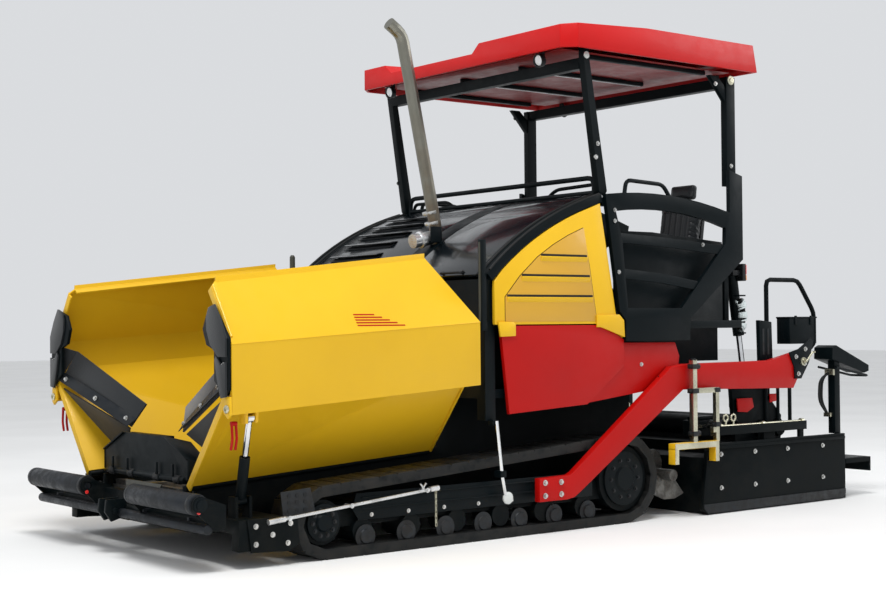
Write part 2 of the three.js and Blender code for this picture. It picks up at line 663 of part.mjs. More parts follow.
// The roller frame inside a track: sprocket, idler, bottom rollers and the beam between them.
function trackFrame() {
  const x0 = TRACK_INNER_X + 40;
  const x1 = TRACK_OUTER_X - 40;
  const wheel = (y, z, radius, sides) => rod(vec(x0, y, z), vec(x1, y, z), radius, sides);
  const fit = TRACK_THICK + RUN;
  // The links are straight inside, so they come nearer to a wheel's centre at their middle.
  const within = (radius) => (radius - TRACK_THICK)
    * Math.cos(shoePitch() / (2 * radius - TRACK_THICK)) - RUN;
  const pieces = [
    wheel(IDLER_Y, IDLER_RADIUS, within(IDLER_RADIUS), 24),
    wheel(SPROCKET_Y, SPROCKET_RADIUS, within(SPROCKET_RADIUS), 24),
    box([x0 + 40, x1 - 40], [IDLER_Y, SPROCKET_Y], [190, 330]),
  ];
  const firstY = IDLER_Y + IDLER_RADIUS + ROLLER_WHEEL_RADIUS;
  const lastY = SPROCKET_Y - SPROCKET_RADIUS - ROLLER_WHEEL_RADIUS;
  for (let i = 0; i < ROLLER_WHEEL_COUNT; i += 1) {
    const y = firstY + (lastY - firstY) * i / (ROLLER_WHEEL_COUNT - 1);
    pieces.push(wheel(y, fit + ROLLER_WHEEL_RADIUS, ROLLER_WHEEL_RADIUS, 12));
  }
  const crossX = WALL_OUTER_X + TOUCH;
  for (const y of [IDLER_Y + 500, SPROCKET_Y - 600]) {
    pieces.push(box([crossX, x0 + 60], [y - 90, y + 90], [200, 320]));
  }
  return join(...pieces);
}

// ---------------------------------------------------------------- chassis

function chassis() {
  const wallTop = (y) => hingeZ(y) + HINGE_RADIUS;
  const bodyStep = BODY_FRONT_Y - 20;
  const wall = plateYZ([
    [NOSE_FRONT_Y, CHASSIS_LOW_Z], [CHASSIS_REAR_Y - CHASSIS_TAIL_CUT, CHASSIS_LOW_Z],
    [CHASSIS_REAR_Y, DECK_Z - 200], [CHASSIS_REAR_Y, DECK_Z], [bodyStep, DECK_Z],
    [bodyStep, wallTop(bodyStep)], [NOSE_FRONT_Y, wallTop(NOSE_FRONT_Y)],
  ], WALL_OUTER_X - WALL_THICK, WALL_OUTER_X);
  const inner = WALL_OUTER_X - WALL_THICK + 1;
  const floor = box([-inner, inner], [NOSE_FRONT_Y, CHASSIS_REAR_Y - CHASSIS_TAIL_CUT],
    [CHASSIS_LOW_Z, CHASSIS_LOW_Z + CHASSIS_FLOOR_THICK]);
  const deck = box([-WALL_OUTER_X, WALL_OUTER_X], [bodyStep, CHASSIS_REAR_Y],
    [DECK_Z - 1, DECK_Z + DECK_THICK]);
  const noseHalf = TRACK_OUTER_X;
  const nose = box([-noseHalf, noseHalf], [NOSE_FRONT_Y, NOSE_REAR_Y], [NOSE_BEAM_Z, NOSE_HIGH_Z]);
  const noseEnd = box([noseHalf - NOSE_BLOCK_WIDTH, noseHalf], [NOSE_FRONT_Y, NOSE_REAR_Y],
    [NOSE_LOW_Z, NOSE_HIGH_Z]);
  const pieces = [wall, mirrored(wall), floor, deck, nose, noseEnd, mirrored(noseEnd)];
  const hingeStart = vec(HINGE_X, HOPPER_FRONT_Y, HINGE_Z);
  const hingeEnd = vec(HINGE_X, HOPPER_REAR_Y, hingeZ(HOPPER_REAR_Y));
  const hingeBar = rod(hingeStart, hingeEnd, HINGE_RADIUS, 16);
  pieces.push(hingeBar, mirrored(hingeBar));
  // Ears for the hopper cylinders and for the apron's hinge, and the pin of the push beam.
  for (const y of [CYLINDER_Y - CYLINDER_RADIUS - 26, CYLINDER_Y + CYLINDER_RADIUS + 6]) {
    const ear = box([CYLINDER_FOOT_X - 45, CYLINDER_FOOT_X + 45], [y, y + 20],
      [NOSE_HIGH_Z - 1, CYLINDER_FOOT_Z + 30]);
    pieces.push(ear, mirrored(ear));
  }
  const apronEar = box([APRON_HALF_WIDTH - 32, APRON_HALF_WIDTH - 8], [APRON_Y - 20, APRON_Y + 40],
    [NOSE_HIGH_Z - 1, APRON_LOW_Z - 32]);
  pieces.push(apronEar, mirrored(apronEar));
  pieces.push(box([-60, 60], [BEAM_PIN_Y + 60, NOSE_FRONT_Y + 1], [NOSE_BEAM_Z, NOSE_HIGH_Z]));
  pieces.push(box([-60, 60], [BEAM_PIN_Y - 40, NOSE_FRONT_Y + 1], [NOSE_BEAM_Z, NOSE_BEAM_Z + 28]));
  pieces.push(rod(vec(0, BEAM_PIN_Y + 5, NOSE_BEAM_Z + 27), vec(0, BEAM_PIN_Y + 5, ROLLER_Z), 18, 16));
  return join(...pieces);
}

// The conveyor's deck with its scraper slats, from the hopper to the augers.
function conveyor() {
  const half = WALL_OUTER_X - WALL_THICK - RUN;
  const y0 = APRON_Y + 40 + RUN;
  const y1 = CHASSIS_REAR_Y - 230;
  const deckTop = CONVEYOR_DECK_Z + CONVEYOR_DECK_THICK;
  const legs = CHASSIS_LOW_Z + CHASSIS_FLOOR_THICK + TOUCH;
  const pieces = [
    box([-half, half], [y0, y1], [CONVEYOR_DECK_Z, deckTop]),
    box([-20, 20], [NOSE_REAR_Y + RUN, CHASSIS_REAR_Y - CHASSIS_TAIL_CUT - RUN],
      [legs, CONVEYOR_DECK_Z + 1]),
    box([-30, 30], [y0, y1], [deckTop - 1, deckTop + SLAT_HEIGHT + 20]),
  ];
  for (let i = 0; i < SLAT_COUNT; i += 1) {
    const y = y0 + 60 + (y1 - y0 - 120) * i / (SLAT_COUNT - 1);
    pieces.push(box([-half, half], [y - 20, y + 20], [deckTop - 1, deckTop + SLAT_HEIGHT]));
  }
  return join(...pieces);
}

// ---------------------------------------------------------------- engine bay

// The hood's side view: a curve from the top of the bulkhead up to the platform.
function hoodCurve(inset, steps = 10) {
  const curve = new THREE.QuadraticBezierCurve(
    new THREE.Vector2(BODY_FRONT_Y, HOOD_FRONT_Z),
    new THREE.Vector2(BODY_FRONT_Y + HOOD_LENGTH * 0.4, HOOD_CREST_Z),
    new THREE.Vector2(HOOD_REAR_Y, HOOD_REAR_Z),
  );
  const points = [];
  for (let i = 0; i <= steps; i += 1) {
    const p = curve.getPoint(i / steps);
    const t = curve.getTangent(i / steps);
    points.push([p.x + t.y * inset, p.y - t.x * inset]);
  }
  return points;
}

// A strip that follows the hood's curve, between two depths under its outer skin.
function hoodStrip(outer, innerDepth, x0, x1) {
  const outline = [...hoodCurve(outer), ...hoodCurve(innerDepth).reverse()];
  return plateYZ(outline, x0, x1);
}

const LID_OUTER_X = BODY_HALF_WIDTH - 2 * HOOD_TRIM;
const BEHIND_DOOR_X = BODY_HALF_WIDTH - DOOR_THICK - RUN;

function engineBayFrame() {
  const deckTop = DECK_Z + DECK_THICK + TOUCH;
  const bulkheadTop = HOOD_FRONT_Z - HOOD_THICK - RUN;
  const y0 = BODY_FRONT_Y;
  const y1 = BODY_FRONT_Y + BULKHEAD_THICK;
  const beamY = [HOOD_REAR_Y - 60, HOOD_REAR_Y];
  const half = BEHIND_DOOR_X;
  const rearHalf = half - 30;
  const pieces = [
    box([-half, half], [y0, y1], [deckTop, bulkheadTop]),
    hoodStrip(0, HOOD_TRIM, HOOD_STRIP_RIGHT_X, HOOD_STRIP_LEFT_X),
    box([-rearHalf, rearHalf], beamY, [HOOD_REAR_Z - 140, HOOD_REAR_Z - HOOD_TRIM + 10]),
    box([HOOD_STRIP_RIGHT_X, HOOD_STRIP_LEFT_X], beamY, [HOOD_REAR_Z - 140, HOOD_REAR_Z - HOOD_THICK]),
  ];
  const post = COLUMN_SIZE;
  const oneSide = [
    hoodStrip(0, HOOD_TRIM, LID_OUTER_X, BODY_HALF_WIDTH),
    box([half - post, half], [y0, y0 + post], [PANEL_LOW_Z - 40, bulkheadTop]),
    box([rearHalf - post, rearHalf], beamY, [DECK_Z, HOOD_REAR_Z - HOOD_TRIM]),
    box([rearHalf - 70, rearHalf], [y0, HOOD_REAR_Y], [deckTop, deckTop + 60]),
    box([WALL_OUTER_X - 80, rearHalf], beamY, [deckTop, deckTop + 60]),
  ];
  for (const piece of oneSide) pieces.push(piece, mirrored(piece));
  // A square sighting post stands in front of the bulkhead.
  const marker = BODY_HALF_WIDTH - 30;
  pieces.push(box([marker - 20, marker + 20], [y0 - 45, y0 - 5], [1450, 2065]));
  pieces.push(box([marker - 20, marker + 20], [y0 - 45, y0 + 1], [1440, 1500]));
  return join(...pieces);
}

const hoodLid = (x0, x1) => hoodStrip(0, HOOD_THICK, x0, x1);

// The door's rear edge leans back towards its foot, and the side frame behind it runs along it.
const DOOR_REAR_TOP_Y = HOOD_REAR_Y - 15;
const DOOR_REAR_FOOT_Y = HOOD_REAR_Y + 150;

// The yellow service door under the hood's curved edge.
function sideDoor() {
  const frontY = BODY_FRONT_Y + HOOD_TRIM;
  const top = hoodCurve(HOOD_TRIM + RUN).filter(([y]) => y > frontY + 5 && y < DOOR_REAR_TOP_Y - 5);
  const outline = [
    [frontY, DOOR_LOW_Z], [HOOD_REAR_Y + 10, DOOR_LOW_Z], [HOOD_REAR_Y + 210, DOOR_LOW_Z - 105],
    [HOOD_REAR_Y + 190, DOOR_LOW_Z + 15], [DOOR_REAR_FOOT_Y - 10, DOOR_LOW_Z + 60],
    [DOOR_REAR_TOP_Y, HOOD_REAR_Z - HOOD_TRIM - RUN],
    ...top.reverse(), [frontY, HOOD_FRONT_Z - HOOD_TRIM + 10],
  ];
  return plateYZ(outline, BODY_HALF_WIDTH - DOOR_THICK, BODY_HALF_WIDTH);
}

// The red panel below the door, with the fender that runs on behind the tow arm.
function lowerPanel() {
  const x1 = BODY_HALF_WIDTH;
  const frontY = BODY_FRONT_Y + HOOD_TRIM + 60;
  const topZ = DOOR_LOW_Z - RUN;
  const rearY = HOOD_REAR_Y + 215;
  const panel = plateYZ([
    [frontY + 65, PANEL_LOW_Z], [HOOD_REAR_Y - 160, PANEL_LOW_Z + 40], [rearY, PANEL_LOW_Z + 310],
    [rearY, topZ - 108], [HOOD_REAR_Y + 8, topZ], [frontY - 8, topZ],
  ], x1 - DOOR_THICK, x1);
  const fenderX = ARM_OUTER_X - ARM_THICK - RUN;
  const fender = plateYZ([
    [HOOD_REAR_Y - 165, PANEL_LOW_Z + 45], [HOOD_REAR_Y + 800, PANEL_LOW_Z + 150],
    [HOOD_REAR_Y + 835, PANEL_LOW_Z + 370], [HOOD_REAR_Y + 790, PANEL_LOW_Z + 475],
    [rearY - 20, PANEL_LOW_Z + 480], [HOOD_REAR_Y - 100, PANEL_LOW_Z + 480],
  ], fenderX - 24, fenderX);
  return join(panel, fender);
}

const ENGINE_Y = BODY_FRONT_Y + HOOD_LENGTH * 0.55;

function exhaust() {
  const baseY = BODY_FRONT_Y + EXHAUST_BASE_SET_BACK;
  const surfaceZ = hoodCurve(0, 60).find(([y]) => y >= baseY)[1];
  const x = EXHAUST_X;
  const lean = EXHAUST_LEAN;
  const pipe = bentTube([
    vec(x, baseY, surfaceZ - HOOD_TRIM / 2), vec(x, baseY, surfaceZ + 90),
    vec(x, baseY - lean, EXHAUST_BEND_Z), vec(x, baseY - lean - 120, EXHAUST_TOP_Z),
  ], EXHAUST_RADIUS, 60, 12, 3);
  return cut(pipe, hoodStrip(-TOUCH, HOOD_TRIM + 60, HOOD_STRIP_RIGHT_X, HOOD_STRIP_LEFT_X));
}

// ---------------------------------------------------------------- operator's platform

function platform() {
  const y0 = PLATFORM_FRONT_Y;
  const y1 = PLATFORM_REAR_Y;
  const wide = FRAME_OUTER_X - FRAME_THICK - TOUCH;
  const wideY = DOOR_REAR_FOOT_Y + 100;
  const floorZs = [PLATFORM_Z - PLATFORM_THICK, PLATFORM_Z];
  const pieces = [
    box([-BEHIND_DOOR_X + 25, BEHIND_DOOR_X - 25], [y0, y1], floorZs),
    box([-wide, wide], [wideY, y1], floorZs),
    box([-1000, 1000], [y0 + 60, y1 - 350], [DECK_Z + DECK_THICK + TOUCH, PLATFORM_Z - PLATFORM_THICK + 1]),
    box([-1000, 1000], [y1 - 380, y1 - 40], [1180, PLATFORM_Z - PLATFORM_THICK + 1]),
  ];
  for (const side of [1, -1]) {
    const panelX = side * SIDE_PANEL_X;
    pieces.push(plateYZ([
      [y0 + 225, PLATFORM_Z - 10], [y1 - 130, PLATFORM_Z - 10], [y1 - 130, SEAT_Z + 160],
      [y0 + 620, SEAT_Z + 215], [y0 + 225, SEAT_Z + 215],
    ], panelX - 15, panelX + 15));
    pieces.push(rod(vec(side * SEAT_X, y0 + SEAT_SET_BACK, PLATFORM_Z - 10),
      vec(side * SEAT_X, y0 + SEAT_SET_BACK, SEAT_Z - 130 - TOUCH), 70, 16));
    pieces.push(box([side * LIFT_X - 60, side * LIFT_X + 60], [y1 - 20, LIFT_TOP_Y - LIFT_RADIUS - RUN],
      [LIFT_TOP_Z - 120, LIFT_TOP_Z + 60]));
    pieces.push(box([side * LIFT_X - 60, side * LIFT_X + 60], [y1 - 60, y1 - 10],
      [PLATFORM_Z - 10, LIFT_TOP_Z + 60]));
  }
  return join(...pieces);
}

const FRONT_FOOT_Y = PLATFORM_FRONT_Y + FRONT_FOOT_SET_BACK;
const REAR_POST_Y = FRONT_FOOT_Y + POST_SPACING;
const LIFT_TOP_Y = PLATFORM_REAR_Y + LIFT_TOP_SET_BACK;
const POST_OUTER_X = FRAME_OUTER_X - FRAME_THICK - RUN;
const POST_INNER_X = POST_OUTER_X - POST_WIDTH;

// The side frame: an arch, a window with two rails across it, and the post that carries the canopy.
function sideFrame() {
  const x1 = FRAME_OUTER_X;
  const x0 = x1 - FRAME_THICK;
  const bar = 95;
  const postFront = REAR_POST_Y - POST_DEPTH / 2 - 25;
  const postRear = REAR_POST_Y + POST_DEPTH / 2 + 25;
  const lowZ = PLATFORM_Z - PLATFORM_THICK + 60;
  const skirtZ = PLATFORM_Z - PLATFORM_THICK - 90;
  const topY = HOOD_REAR_Y + 22;
  const footY = DOOR_REAR_FOOT_Y + RUN;
  const arch = (drop, y0, y1) => new THREE.QuadraticBezierCurve(
    new THREE.Vector2(y0, ARCH_FRONT_Z - 40 - drop),
    new THREE.Vector2((y0 + y1) / 2, ARCH_FRONT_Z + 40 - drop),
    new THREE.Vector2(y1, ARCH_REAR_Z - drop),
  ).getPoints(8).map((p) => [p.x, p.y]);
  const outer = plateYZ([
    ...arch(0, topY, postFront), [postFront, REAR_PIVOT_Z + 60], [postRear, REAR_PIVOT_Z + 20],
    [postRear, lowZ + 480], [postFront - 460, lowZ + 20], [postFront - 475, skirtZ], [footY + 62, skirtZ],
    [footY + 62, lowZ + 5], [footY, lowZ + 75],
  ], x0, x1);
  const window = plateYZ([
    ...arch(ARCH_DEPTH, topY + bar + 10, postFront - 50), [postFront - 55, lowZ + 600],
    [postFront - 560, lowZ + bar], [footY + bar - 10, lowZ + bar], [topY + bar + 75, lowZ + 590],
  ], x0 - 1, x1 + 1);
  const crossRail = (z, drop, y0, y1) => plateYZ([
    [y0, z], [y0, z - 70], [(y0 + y1) / 2, z - 80 - drop / 4], [y1, z - 70 - drop], [y1, z - drop],
    [(y0 + y1) / 2, z - 10 - drop / 4],
  ], x0 + 6, x1 - 8);
  const railY = topY + 210;
  const rail = bentTube([
    vec(x1 - FRAME_THICK / 2, railY, ARCH_FRONT_Z - 40), vec(x1 - FRAME_THICK / 2, railY + 20, 2545),
    vec(x1 - FRAME_THICK / 2, railY + 410, 2530), vec(x1 - FRAME_THICK / 2, railY + 490, ARCH_FRONT_Z - 40),
  ], 16, 50, 8);
  const footLug = box([POST_INNER_X, x0 + 1], [FRONT_FOOT_Y - 20, FRONT_FOOT_Y + 50],
    [FRONT_FOOT_Z - POST_DEPTH / 2 - RUN - 60, FRONT_FOOT_Z - POST_DEPTH / 2 - RUN]);
  return join(cut(outer, window), rail, footLug,
    crossRail(lowZ + 650, 70, topY + bar + 50, postFront - 40),
    crossRail(lowZ + 386, 83, topY + bar + 90, postFront - 370));
}

function seat() {
  const y = PLATFORM_FRONT_Y + SEAT_SET_BACK;
  const half = SEAT_WIDTH / 2;
  const pan = box([SEAT_X - half, SEAT_X + half], [y - 270, y + 200], [SEAT_Z - 130, SEAT_Z]);
  const back = plateYZ([
    [y + 130, SEAT_Z - 60], [y + 250, SEAT_Z - 60], [y + 330, HEADREST_Z - 170], [y + 230, HEADREST_Z - 170],
  ], SEAT_X - half, SEAT_X + half);
  const head = plateYZ([
    [y + 220, HEADREST_Z - 200], [y + 325, HEADREST_Z - 200], [y + 350, HEADREST_Z], [y + 270, HEADREST_Z],
  ], SEAT_X - 140, SEAT_X + 140);
  return join(pan, back, head);
}

function controlConsole() {
  const y0 = PLATFORM_FRONT_Y + 70;
  const desk = plateYZ([
    [y0, PLATFORM_Z + TOUCH], [y0 + 160, PLATFORM_Z + TOUCH], [y0 + 160, 2050], [y0 + 380, CONSOLE_Z - 190],
    [y0 + 400, CONSOLE_Z - 110], [y0 + 60, CONSOLE_Z], [y0, CONSOLE_Z],
  ], -1040, 1040);
  return desk;
}

// The rails in front of the platform, from one front post's foot to the other's.
function frontHandrail() {
  const y = PLATFORM_FRONT_Y + 25;
  const x = POST_INNER_X - 19 - RUN;
  const foot = HOOD_REAR_Z - 138;
  const upper = bentTube([
    vec(-x, y, foot), vec(-x, y, 2560), vec(x, y, 2560), vec(x, y, foot),
  ], 19, 70, 8);
  const lower = rod(vec(-x, y, 2450), vec(x, y, 2450), 16, 8);
  const ground = box([-x - 15, x + 15], [y - 20, y + 20], [foot - 40, foot + 10]);
  return join(upper, lower, ground);
}

// ---------------------------------------------------------------- canopy

const FRONT_TOP_Y = FRONT_FOOT_Y - FRONT_POST_LEAN;
const PIVOT_TOP_Z = ROOF_LOW_Z - 28;
const ROOF_FRONT_Y = FRONT_FOOT_Y - ROOF_OVERHANG;

function frontPosts() {
  const half = FRONT_POST_DEPTH / 2;
  const shape = [];
  for (let a = -170; a <= -10; a += 40) {
    shape.push([FRONT_FOOT_Y + half * Math.cos(rad(a)), FRONT_FOOT_Z + half * Math.sin(rad(a))]);
  }
  const topZ = PIVOT_TOP_Z - 15;
  shape.push([FRONT_TOP_Y + half * 0.7, topZ], [FRONT_TOP_Y - half * 0.7, topZ]);
  const post = plateYZ(shape, POST_INNER_X, POST_OUTER_X);
  const beam = box([-POST_INNER_X - 1, POST_INNER_X + 1], [FRONT_TOP_Y - 25, FRONT_TOP_Y + 45],
    [topZ - CANOPY_BEAM, topZ]);
  return join(post, mirrored(post), beam);
}

function rearPosts() {
  const half = POST_DEPTH / 2;
  const topZ = PIVOT_TOP_Z - 15;
  const post = box([POST_INNER_X, POST_OUTER_X], [REAR_POST_Y - half, REAR_POST_Y + half],
    [REAR_PIVOT_Z - 60, topZ]);
  const gusset = plateYZ([
    [REAR_POST_Y, PIVOT_TOP_Z - 270], [REAR_POST_Y, PIVOT_TOP_Z - 140],
    [REAR_POST_Y - 140, topZ], [REAR_POST_Y - 235, topZ],
  ], POST_INNER_X + 10, POST_OUTER_X - 10);
  const tie = box([-POST_INNER_X - 1, POST_INNER_X + 1], [REAR_POST_Y - 40, REAR_POST_Y + 40],
    [topZ - CANOPY_BEAM, topZ]);
  return join(post, mirrored(post), gusset, mirrored(gusset), tie);
}

// The roof is a shell: chamfered front corners, a front half that slopes down, and a trough.
// Two pockets beside the trough take the rear posts' gussets when the roof folds.
function roof() {
  const w = ROOF_HALF_WIDTH;
  const y0 = ROOF_FRONT_Y;
  const y1 = y0 + ROOF_LENGTH;
  const c = ROOF_CORNER;
  const taper = 55;
  const plan = (inset) => [
    [-w + inset, y0 + c + inset * 0.4], [-w + c + inset * 0.4, y0 + inset],
    [w - c - inset * 0.4, y0 + inset],
    [w - inset, y0 + c + inset * 0.4], [w - inset, y1 - inset], [-w + inset, y1 - inset],
  ];
  const outer = plateXY(plan(0), ROOF_LOW_Z, ROOF_HIGH_Z);
  const inner = plateXY(plan(ROOF_SHELL), ROOF_LOW_Z - 10, ROOF_HIGH_Z - ROOF_SHELL - TROUGH_DROP);
  const frontZ = ROOF_HIGH_Z - 45;
  const frontSlope = plateYZ([
    [y0 - 10, frontZ], [y0 + ROOF_FRONT_SLOPE, ROOF_HIGH_Z], [y0 + ROOF_FRONT_SLOPE, ROOF_HIGH_Z + 50],
    [y0 - 10, ROOF_HIGH_Z + 50],
  ], -w - 10, w + 10);
  const rearRake = plateYZ([
    [y1 + 10, ROOF_LOW_Z - 20], [y1 + 10, ROOF_HIGH_Z + 20], [y1 - taper, ROOF_HIGH_Z + 20],
    [y1, ROOF_LOW_Z - 20],
  ], -w - 10, w + 10);
  const ramp = TROUGH_RAMP;
  const trough = plateXZ([
    [-TROUGH_RIGHT_X, ROOF_HIGH_Z + 10], [-TROUGH_RIGHT_X + ramp, ROOF_HIGH_Z - TROUGH_DROP],
    [TROUGH_LEFT_X - ramp, ROOF_HIGH_Z - TROUGH_DROP], [TROUGH_LEFT_X, ROOF_HIGH_Z + 10],
  ], y0 - 10, y0 + ROOF_LENGTH * 0.62);
  const pocket = box([POST_INNER_X - 40, POST_OUTER_X + 40],
    [REAR_POST_Y - ROOF_POCKET_LENGTH, REAR_POST_Y], [ROOF_LOW_Z, ROOF_HIGH_Z - ROOF_POCKET_TOP]);
  return cut(outer, inner, frontSlope, rearRake, trough, pocket, mirrored(pocket));
}

// ---------------------------------------------------------------- tow arms and screed lift

function towArm() {
  const d = ARM_DEPTH;
  const lowZ = TOW_PIN_Z - d * 0.42;
  const outline = [
    [TOW_PIN_Y - 135, lowZ], [TOW_PIN_Y + 130, lowZ], [TOW_PIN_Y + 200, lowZ + 12],
    [TOW_PIN_Y + 262, lowZ + 48],
    [ARM_BEND_Y, ARM_TOP_Z - d], [ARM_REAR_Y, ARM_TOP_Z - d - 30],
    [ARM_REAR_Y + 230, ARM_TOP_Z + 100], [ARM_REAR_Y - 290, ARM_TOP_Z], [ARM_BEND_Y, ARM_TOP_Z - 6],
    [ARM_BEND_Y - 130, ARM_TOP_Z - 23], [TOW_PIN_Y + 190, lowZ + 190], [TOW_PIN_Y + 150, lowZ + 172],
    [TOW_PIN_Y - 135, lowZ + 166],
  ];
  return plateYZ(outline, ARM_OUTER_X - ARM_THICK, ARM_OUTER_X);
}

const liftTop = vec(LIFT_X, LIFT_TOP_Y, LIFT_TOP_Z);
const liftFoot = vec(LIFT_X, LIFT_TOP_Y + LIFT_LEAN, LIFT_FOOT_Z);
const ACROSS = vec(1, 0, 0);

// ---------------------------------------------------------------- augers

// A screw: a helical blade joined to its shaft.
function auger() {
  const length = AUGER_OUTER_X - AUGER_INNER_X;
  const turns = length / AUGER_PITCH;
  const steps = Math.round(turns * 14);
  const thickness = 22;
  const inner = AUGER_SHAFT_RADIUS - 8;
  const positions = [];
  const corner = (i, radius, face) => {
    const a = 2 * Math.PI * turns * i / steps;
    const x = AUGER_INNER_X + thickness + (length - 2 * thickness) * i / steps + face * thickness / 2;
    return [x, AUGER_Y + radius * Math.cos(a), AUGER_Z + radius * Math.sin(a)];
  };
  const quad = (a, b, c, d) => positions.push(...a, ...b, ...c, ...a, ...c, ...d);
  for (let i = 0; i < steps; i += 1) {
    const [j, R] = [i + 1, AUGER_RADIUS];
    quad(corner(i, inner, 1), corner(i, R, 1), corner(j, R, 1), corner(j, inner, 1));
    quad(corner(i, R, -1), corner(i, inner, -1), corner(j, inner, -1), corner(j, R, -1));
    quad(corner(i, R, 1), corner(i, R, -1), corner(j, R, -1), corner(j, R, 1));
    quad(corner(i, inner, -1), corner(i, inner, 1), corner(j, inner, 1), corner(j, inner, -1));
  }
  for (const [i, first, second] of [[0, -1, 1], [steps, 1, -1]]) {
    quad(corner(i, inner, first), corner(i, AUGER_RADIUS, first), corner(i, AUGER_RADIUS, second),
      corner(i, inner, second));
  }
  const blade = new THREE.BufferGeometry();
  blade.setAttribute('position', new THREE.Float32BufferAttribute(positions, 3));
  const shaft = rod(vec(AUGER_INNER_X, AUGER_Y, AUGER_Z), vec(AUGER_OUTER_X, AUGER_Y, AUGER_Z),
    AUGER_SHAFT_RADIUS, 12);
  return join(blade, shaft);
}

// The gear case between the augers, hung from the chassis deck.
function augerCase() {
  const half = AUGER_INNER_X - RUN;
  return join(
    box([-half, half], [AUGER_Y - 110, AUGER_Y + 80], [AUGER_Z - 120, AUGER_Z + 130]),
    box([-half, half], [CHASSIS_REAR_Y - 120, CHASSIS_REAR_Y - 20], [AUGER_Z + 100, DECK_Z - 1 - TOUCH]),
    box([-half, half], [CHASSIS_REAR_Y - 120, AUGER_Y + 80], [AUGER_Z + 100, AUGER_Z + 130]),
  );
}

// ---------------------------------------------------------------- screed

const SCREED_TOP_Z = SCREED_CLEAR_Z + SCREED_HEIGHT;
const SCREED_REAR_Y = SCREED_FRONT_Y + SCREED_DEPTH;
const EXTENSION_FRONT_Y = SCREED_REAR_Y + EXTENSION_GAP;
const EXTENSION_REAR_Y = EXTENSION_FRONT_Y + EXTENSION_DEPTH;
const WALKWAY_FRONT_Y = END_PLATE_FRONT_Y + END_PLATE_REACH + RUN;
const WALKWAY_REAR_Y = WALKWAY_FRONT_Y + WALKWAY_DEPTH;
const END_PLATE_INNER_X = END_PLATE_OUTER_X - END_PLATE_THICK;
const SCREED_HALF = END_PLATE_INNER_X - RUN;
const GUIDE_Y = { left: EXTENSION_FRONT_Y + 195, right: EXTENSION_FRONT_Y + 415 };

// The main screed box, the two guide housings behind it and the uprights to the tow arms.
function mainScreed() {
  const pieces = [
    box([-SCREED_HALF, SCREED_HALF], [SCREED_FRONT_Y, SCREED_REAR_Y], [SCREED_CLEAR_Z, SCREED_TOP_Z]),
    box([-SCREED_HALF + 90, SCREED_HALF - 90], [SCREED_REAR_Y - 160, GUIDE_Y.right + HOUSING_RADIUS],
      [SCREED_TOP_Z + RUN * 2, SCREED_TOP_Z + RUN * 2 + 60]),
    box([-SCREED_HALF + 90, SCREED_HALF - 90], [SCREED_REAR_Y - 160, SCREED_REAR_Y - 60],
      [SCREED_TOP_Z - 1, SCREED_TOP_Z + 80]),
  ];
  const housingEnd = SCREED_HALF - 100;
  for (const y of Object.values(GUIDE_Y)) {
    pieces.push(rod(vec(-housingEnd, y, HOUSING_Z), vec(housingEnd, y, HOUSING_Z), HOUSING_RADIUS, 16));
    pieces.push(box([-housingEnd, housingEnd], [y - 50, y + 50], [SCREED_TOP_Z + RUN * 2, HOUSING_Z]));
  }
  const innerX = ARM_OUTER_X - ARM_THICK - TOUCH - 40;
  const outerX = ARM_OUTER_X - ARM_THICK - TOUCH;
  const upright = plateYZ([
    [SCREED_REAR_Y - 60, SCREED_TOP_Z + 30], [GUIDE_Y.right + 40, SCREED_TOP_Z + 30],
    [GUIDE_Y.right + 60, 720], [ARM_REAR_Y - 160, 900], [ARM_REAR_Y - 160, UPRIGHT_TOP_Z - 30],
    [SCREED_REAR_Y - 120, UPRIGHT_TOP_Z - 30],
  ], innerX - 90, outerX - 90);
  const armSeat = box([innerX - 91, outerX], [SCREED_REAR_Y + 20, ARM_REAR_Y - 180], [1000, 1120]);
  pieces.push(upright, mirrored(upright), armSeat, mirrored(armSeat));
  for (const side of [1, -1]) {
    const railY = ARM_REAR_Y - 130;
    const railX = side * (innerX - 70);
    pieces.push(bentTube([
      vec(railX, railY, 880), vec(railX, railY, 1830), vec(railX, railY + 400, 1830),
      vec(railX, railY + 610, 1560), vec(railX, railY + 610, 1290), vec(railX, railY + 10, 1000),
    ], 19, 50, 8, 2));
  }
  const bores = [];
  for (const y of Object.values(GUIDE_Y)) {
    bores.push(rod(vec(-SCREED_HALF - 50, y, HOUSING_Z), vec(SCREED_HALF + 50, y, HOUSING_Z),
      GUIDE_RADIUS + RUN, 16));
  }
  return cut(join(...pieces), ...bores);
}

// One extension, drawn for the left side: plate box, guide bar and walkway.
function extension(guideY) {
  const x0 = RUN / 2;
  const topZ = SCREED_TOP_Z - 60;
  const innerEnd = -SCREED_HALF + 60;
  const outer = END_PLATE_INNER_X - TOUCH;
  const guide = rod(vec(innerEnd, guideY, HOUSING_Z), vec(outer, guideY, HOUSING_Z), GUIDE_RADIUS, 16);
  const pieces = [
    box([x0, outer], [EXTENSION_FRONT_Y, EXTENSION_REAR_Y], [SCREED_CLEAR_Z, topZ]),
    box([x0, END_PLATE_OUTER_X], [WALKWAY_FRONT_Y, WALKWAY_REAR_Y], [WALKWAY_Z - 40, WALKWAY_Z]),
    box([x0, END_PLATE_OUTER_X], [WALKWAY_REAR_Y - 20, WALKWAY_REAR_Y], [WALKWAY_Z - 120, WALKWAY_Z]),
    box([outer - 60, outer], [guideY - 70, guideY + 70], [topZ - 1, HOUSING_Z + 50]),
    guide,
  ];
  for (const share of [0.06, 0.5, 0.94]) {
    const x = x0 + (outer - x0) * share;
    pieces.push(box([x - 25, x + 25], [EXTENSION_REAR_Y - 1, WALKWAY_FRONT_Y + 30],
      [WALKWAY_Z - 110, WALKWAY_Z - 39]));
  }
  return join(...pieces);
}

